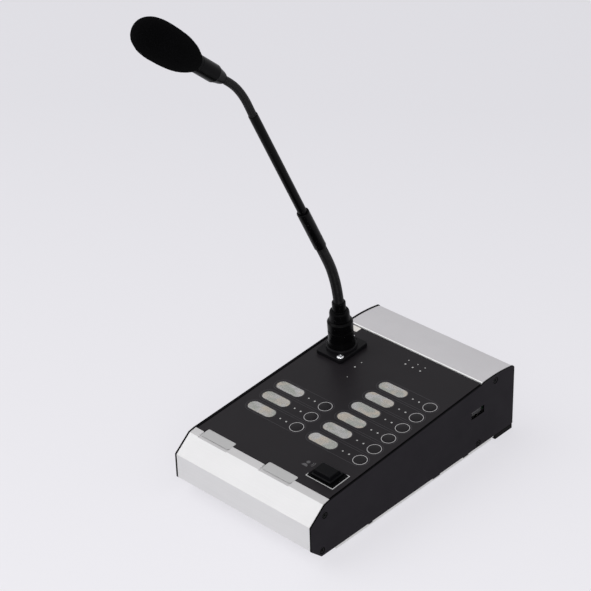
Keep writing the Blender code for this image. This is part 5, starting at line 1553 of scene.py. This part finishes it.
headSet = {
    "neckRadius": 0.0042,
    "neckLength": 0.0020,
    "taper": 0.0076,
    "radius": 0.0065,
    "grip": 0.0219,
    "edge": 0.0005,
    "groove": (0.0012, 0.0022),             # round the housing, from the foam's mouth down
    "grooveDepth": 0.00015,
    "grooveWall": 0.0002,
    "foamForward": 0.0016,      # foam pulled on this much less than to the stop
    "inFoam": 0.0300,
    "wall": 0.00095,
    "capsuleSeat": 0.0082,
    "flexDepth": 0.0063,        # flex inside the housing's lower end
    "cableBore": 0.0010,
    "foamLength": 0.0608,
    "foamRadius": 0.0139,
    "foamShares": [
        (0.004, 0.18), (0.016, 0.34), (0.045, 0.54), (0.075, 0.665), (0.110, 0.77), (0.155, 0.855),
        (0.200, 0.915), (0.250, 0.958), (0.300, 0.985), (0.360, 0.998), (0.420, 1.000), (0.490, 0.995),
        (0.560, 0.985), (0.620, 0.972), (0.680, 0.950), (0.735, 0.915), (0.790, 0.865), (0.840, 0.813),
        (0.890, 0.745), (0.930, 0.678), (0.965, 0.605), (0.985, 0.570),
    ],
    "foamPlay": 0.0001,         # between the foam's bore and the housing
    "foamRoof": 0.0002,         # between the bore's end and the housing's
    "foamMouth": 0.0006,        # round edge of the foam's mouth
    "mouthShares": (0.3, 0.6, 0.85),
    "mouthBulge": 0.0003,
    "mouthDepth": 0.0005,
    "foamRings": 6,             # rings between two shares
    "foamSides": 168,
    "cellSize": 0.0011,
    "cellDepth": 0.00026,
    "cellStart": 0.0009,        # cells from this far outside the housing, and over the tip
    "cellTip": 0.012,
}


def makeHead():
    place = leanFrame(jointPlaces["upper_side_2"], neckSet["upperLean"])
    low = neckSet["upperTail"]
    taperLow = low + headSet["neckLength"]
    gripLow = taperLow + headSet["taper"]
    foamLow = gripLow + headSet["grip"]
    top = foamLow + headSet["inFoam"]
    makeCapsuleHousing(place, low, taperLow, gripLow, foamLow, top)
    makeFoam(place, foamLow + headSet["foamForward"], top)


def makeCapsuleHousing(place, low, taperLow, gripLow, foamLow, top):
    radius, neck, edge, cable = (headSet[key] for key in ("radius", "neckRadius", "edge", "cableBore"))
    flex, flexTop = neckSet["upperRadius"], low + headSet["flexDepth"]
    bore, seat = radius - headSet["wall"], top - headSet["capsuleSeat"]
    cut, wall, (near, far) = headSet["grooveDepth"], headSet["grooveWall"], headSet["groove"]
    profile = [(bore, top), (radius - edge, top), (radius, top - edge), (radius, foamLow - near),
               (radius - cut, foamLow - near - wall), (radius - cut, foamLow - far + wall),
               (radius, foamLow - far), (radius, gripLow + 1.2 * edge),
               (radius - 0.3 * edge, gripLow + 0.4 * edge), (radius - 0.9 * edge, gripLow - 0.2 * edge),
               (neck + edge, taperLow + 0.3 * edge), (neck + 0.2 * edge, taperLow - 0.4 * edge),
               (neck, taperLow - edge), (neck, low + edge), (neck - edge, low), (flex, low),
               (flex, flexTop), (cable, flexTop), (cable, seat), (bore, seat)]
    piece = turnProfile("capsuleHousing", profile, 80, closed=True)
    finishPiece(piece, "blackAnodised", "head", "capsule_housing", at=place, slot="black_anodised")


def makeFoam(place, foamLow, top):
    tip = foamLow + headSet["foamLength"]
    skin = headSet["cellDepth"]
    reach = headSet["foamRadius"] - skin
    rings, length = headSet["foamRings"], headSet["foamLength"]
    shares = [(0.0, 0.0)] + headSet["foamShares"]
    profile = []
    for (far, wide), (nextFar, nextWide) in zip(shares, shares[1:]):
        for step in range(rings):
            part = step / rings
            profile.append((reach * (wide + (nextWide - wide) * part),
                            tip - skin - length * (far + (nextFar - far) * part)))
    mouth, roof = headSet["radius"] + headSet["foamPlay"], top + headSet["foamRoof"]
    lip = mouth + headSet["foamMouth"]
    last = reach * shares[-1][1]
    profile.append((last, tip - skin - length * shares[-1][0]))
    for part in headSet["mouthShares"]:
        profile.append((last + (lip - last) * part, foamLow + headSet["mouthBulge"] * (1 - part)))
    profile += [(lip, foamLow), (mouth, foamLow + headSet["mouthDepth"]), (mouth, roof), (0, roof)]
    foam = turnProfile("foamWindscreen", profile, headSet["foamSides"])
    foamTexture(foam)
    settle(foam, place)
    finishPiece(foam, "windscreenFoam", "head", "foam_windscreen", "mic_capsule", slot="foam",
                smooth=80, weighted=False)


def foamTexture(foam):
    # shallow open cells over the outside of the foam
    outside = foam.vertex_groups.new(name="outside")
    places = [point.co for point in foam.data.vertices]
    tip = max(place.z for place in places)
    start = headSet["radius"] + headSet["cellStart"]
    skin = [number for number, place in enumerate(places)
            if math.hypot(place.x, place.y) > start or place.z > tip - headSet["cellTip"]]
    outside.add(skin, 1.0, "REPLACE")
    for name, kind, size in (("cells", "VORONOI", headSet["cellSize"]),
                             ("lumps", "CLOUDS", headSet["cellSize"] * 5)):
        texture = bpy.data.textures.new(name, kind)
        texture.noise_scale = size
        useModifier(foam, "DISPLACE", texture=texture, strength=headSet["cellDepth"], mid_level=0.5,
                    vertex_group="outside", texture_coords="LOCAL")
        bpy.data.textures.remove(texture)


ferruleTop = socketFrame @ Vector((0, 0, colletSet["ferruleTop"]))
plugWay = (socketFrame.to_3x3() @ Vector((0, 0, 1))).normalized()
makeNeck("lower", ferruleTop, plugWay)
makeStem()
makeNeck("upper", stemTop(), leanDirection(neckSet["lowerLean"]))
makeHead()
print("gooseneck dressed")


# Connectors and the CAD nodes that stay as they are

connectorSet = {
    "edge": 0.00025,
    "headerEdge": 0.0001,
    "contactCount": 8,
    "contactPitch": 0.00102,
    "contactWidth": 0.0006,
    "contactDepth": (0.0120, 0.0030),       # from the socket's rear face
    "contactDrop": (0.0030, 0.0026),        # from its top
}


def makeConnectors():
    count, half = connectorSet["contactCount"], connectorSet["contactWidth"] / 2
    (near, far), (low, high) = connectorSet["contactDepth"], connectorSet["contactDrop"]
    for end in ("in", "out"):
        socket = dressCopy("link_socket_" + end, "linkSocket" + end.title(), connectorSet["edge"])
        finishPiece(socket, "blackMoulding", "console", "link_socket_" + end, slot="black_plastic")
        start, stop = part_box("link_socket_" + end)
        contacts = []
        for number in range(count):
            x = (start.x + stop.x) / 2 + (number - (count - 1) / 2) * connectorSet["contactPitch"]
            contacts.append(addBox("contact", (x - half, stop.y - near, stop.z - low),
                                   (x + half, stop.y - far, stop.z - high)))
        contacts = gather("linkContacts" + end.title(), contacts)
        finishPiece(contacts, "contactBrass", "console", slot="nickel")
    header = dressCopy("side_header", "sideHeader", connectorSet["headerEdge"], 1)
    finishPiece(header, "printFigure", "console", "side_header", slot="black_plastic")


makeConnectors()

stayingNodes = {
    # black-painted steel, darkened further as painted shade where it shows in the gaps beside the film
    "shadedBlackEdge": ("key_panel",),
    "boardGreen": ("key_board", "main_board"),
    "blackMoulding": ("socket_insert",),
}


def dressStayingNodes():
    for finish, nodes in stayingNodes.items():
        for node in nodes:
            slots = frame["nodes"][node].data.materials
            slots.clear()
            slots.append(finishes[finish])


dressStayingNodes()
print("connectors and inner pieces dressed")

letGo()
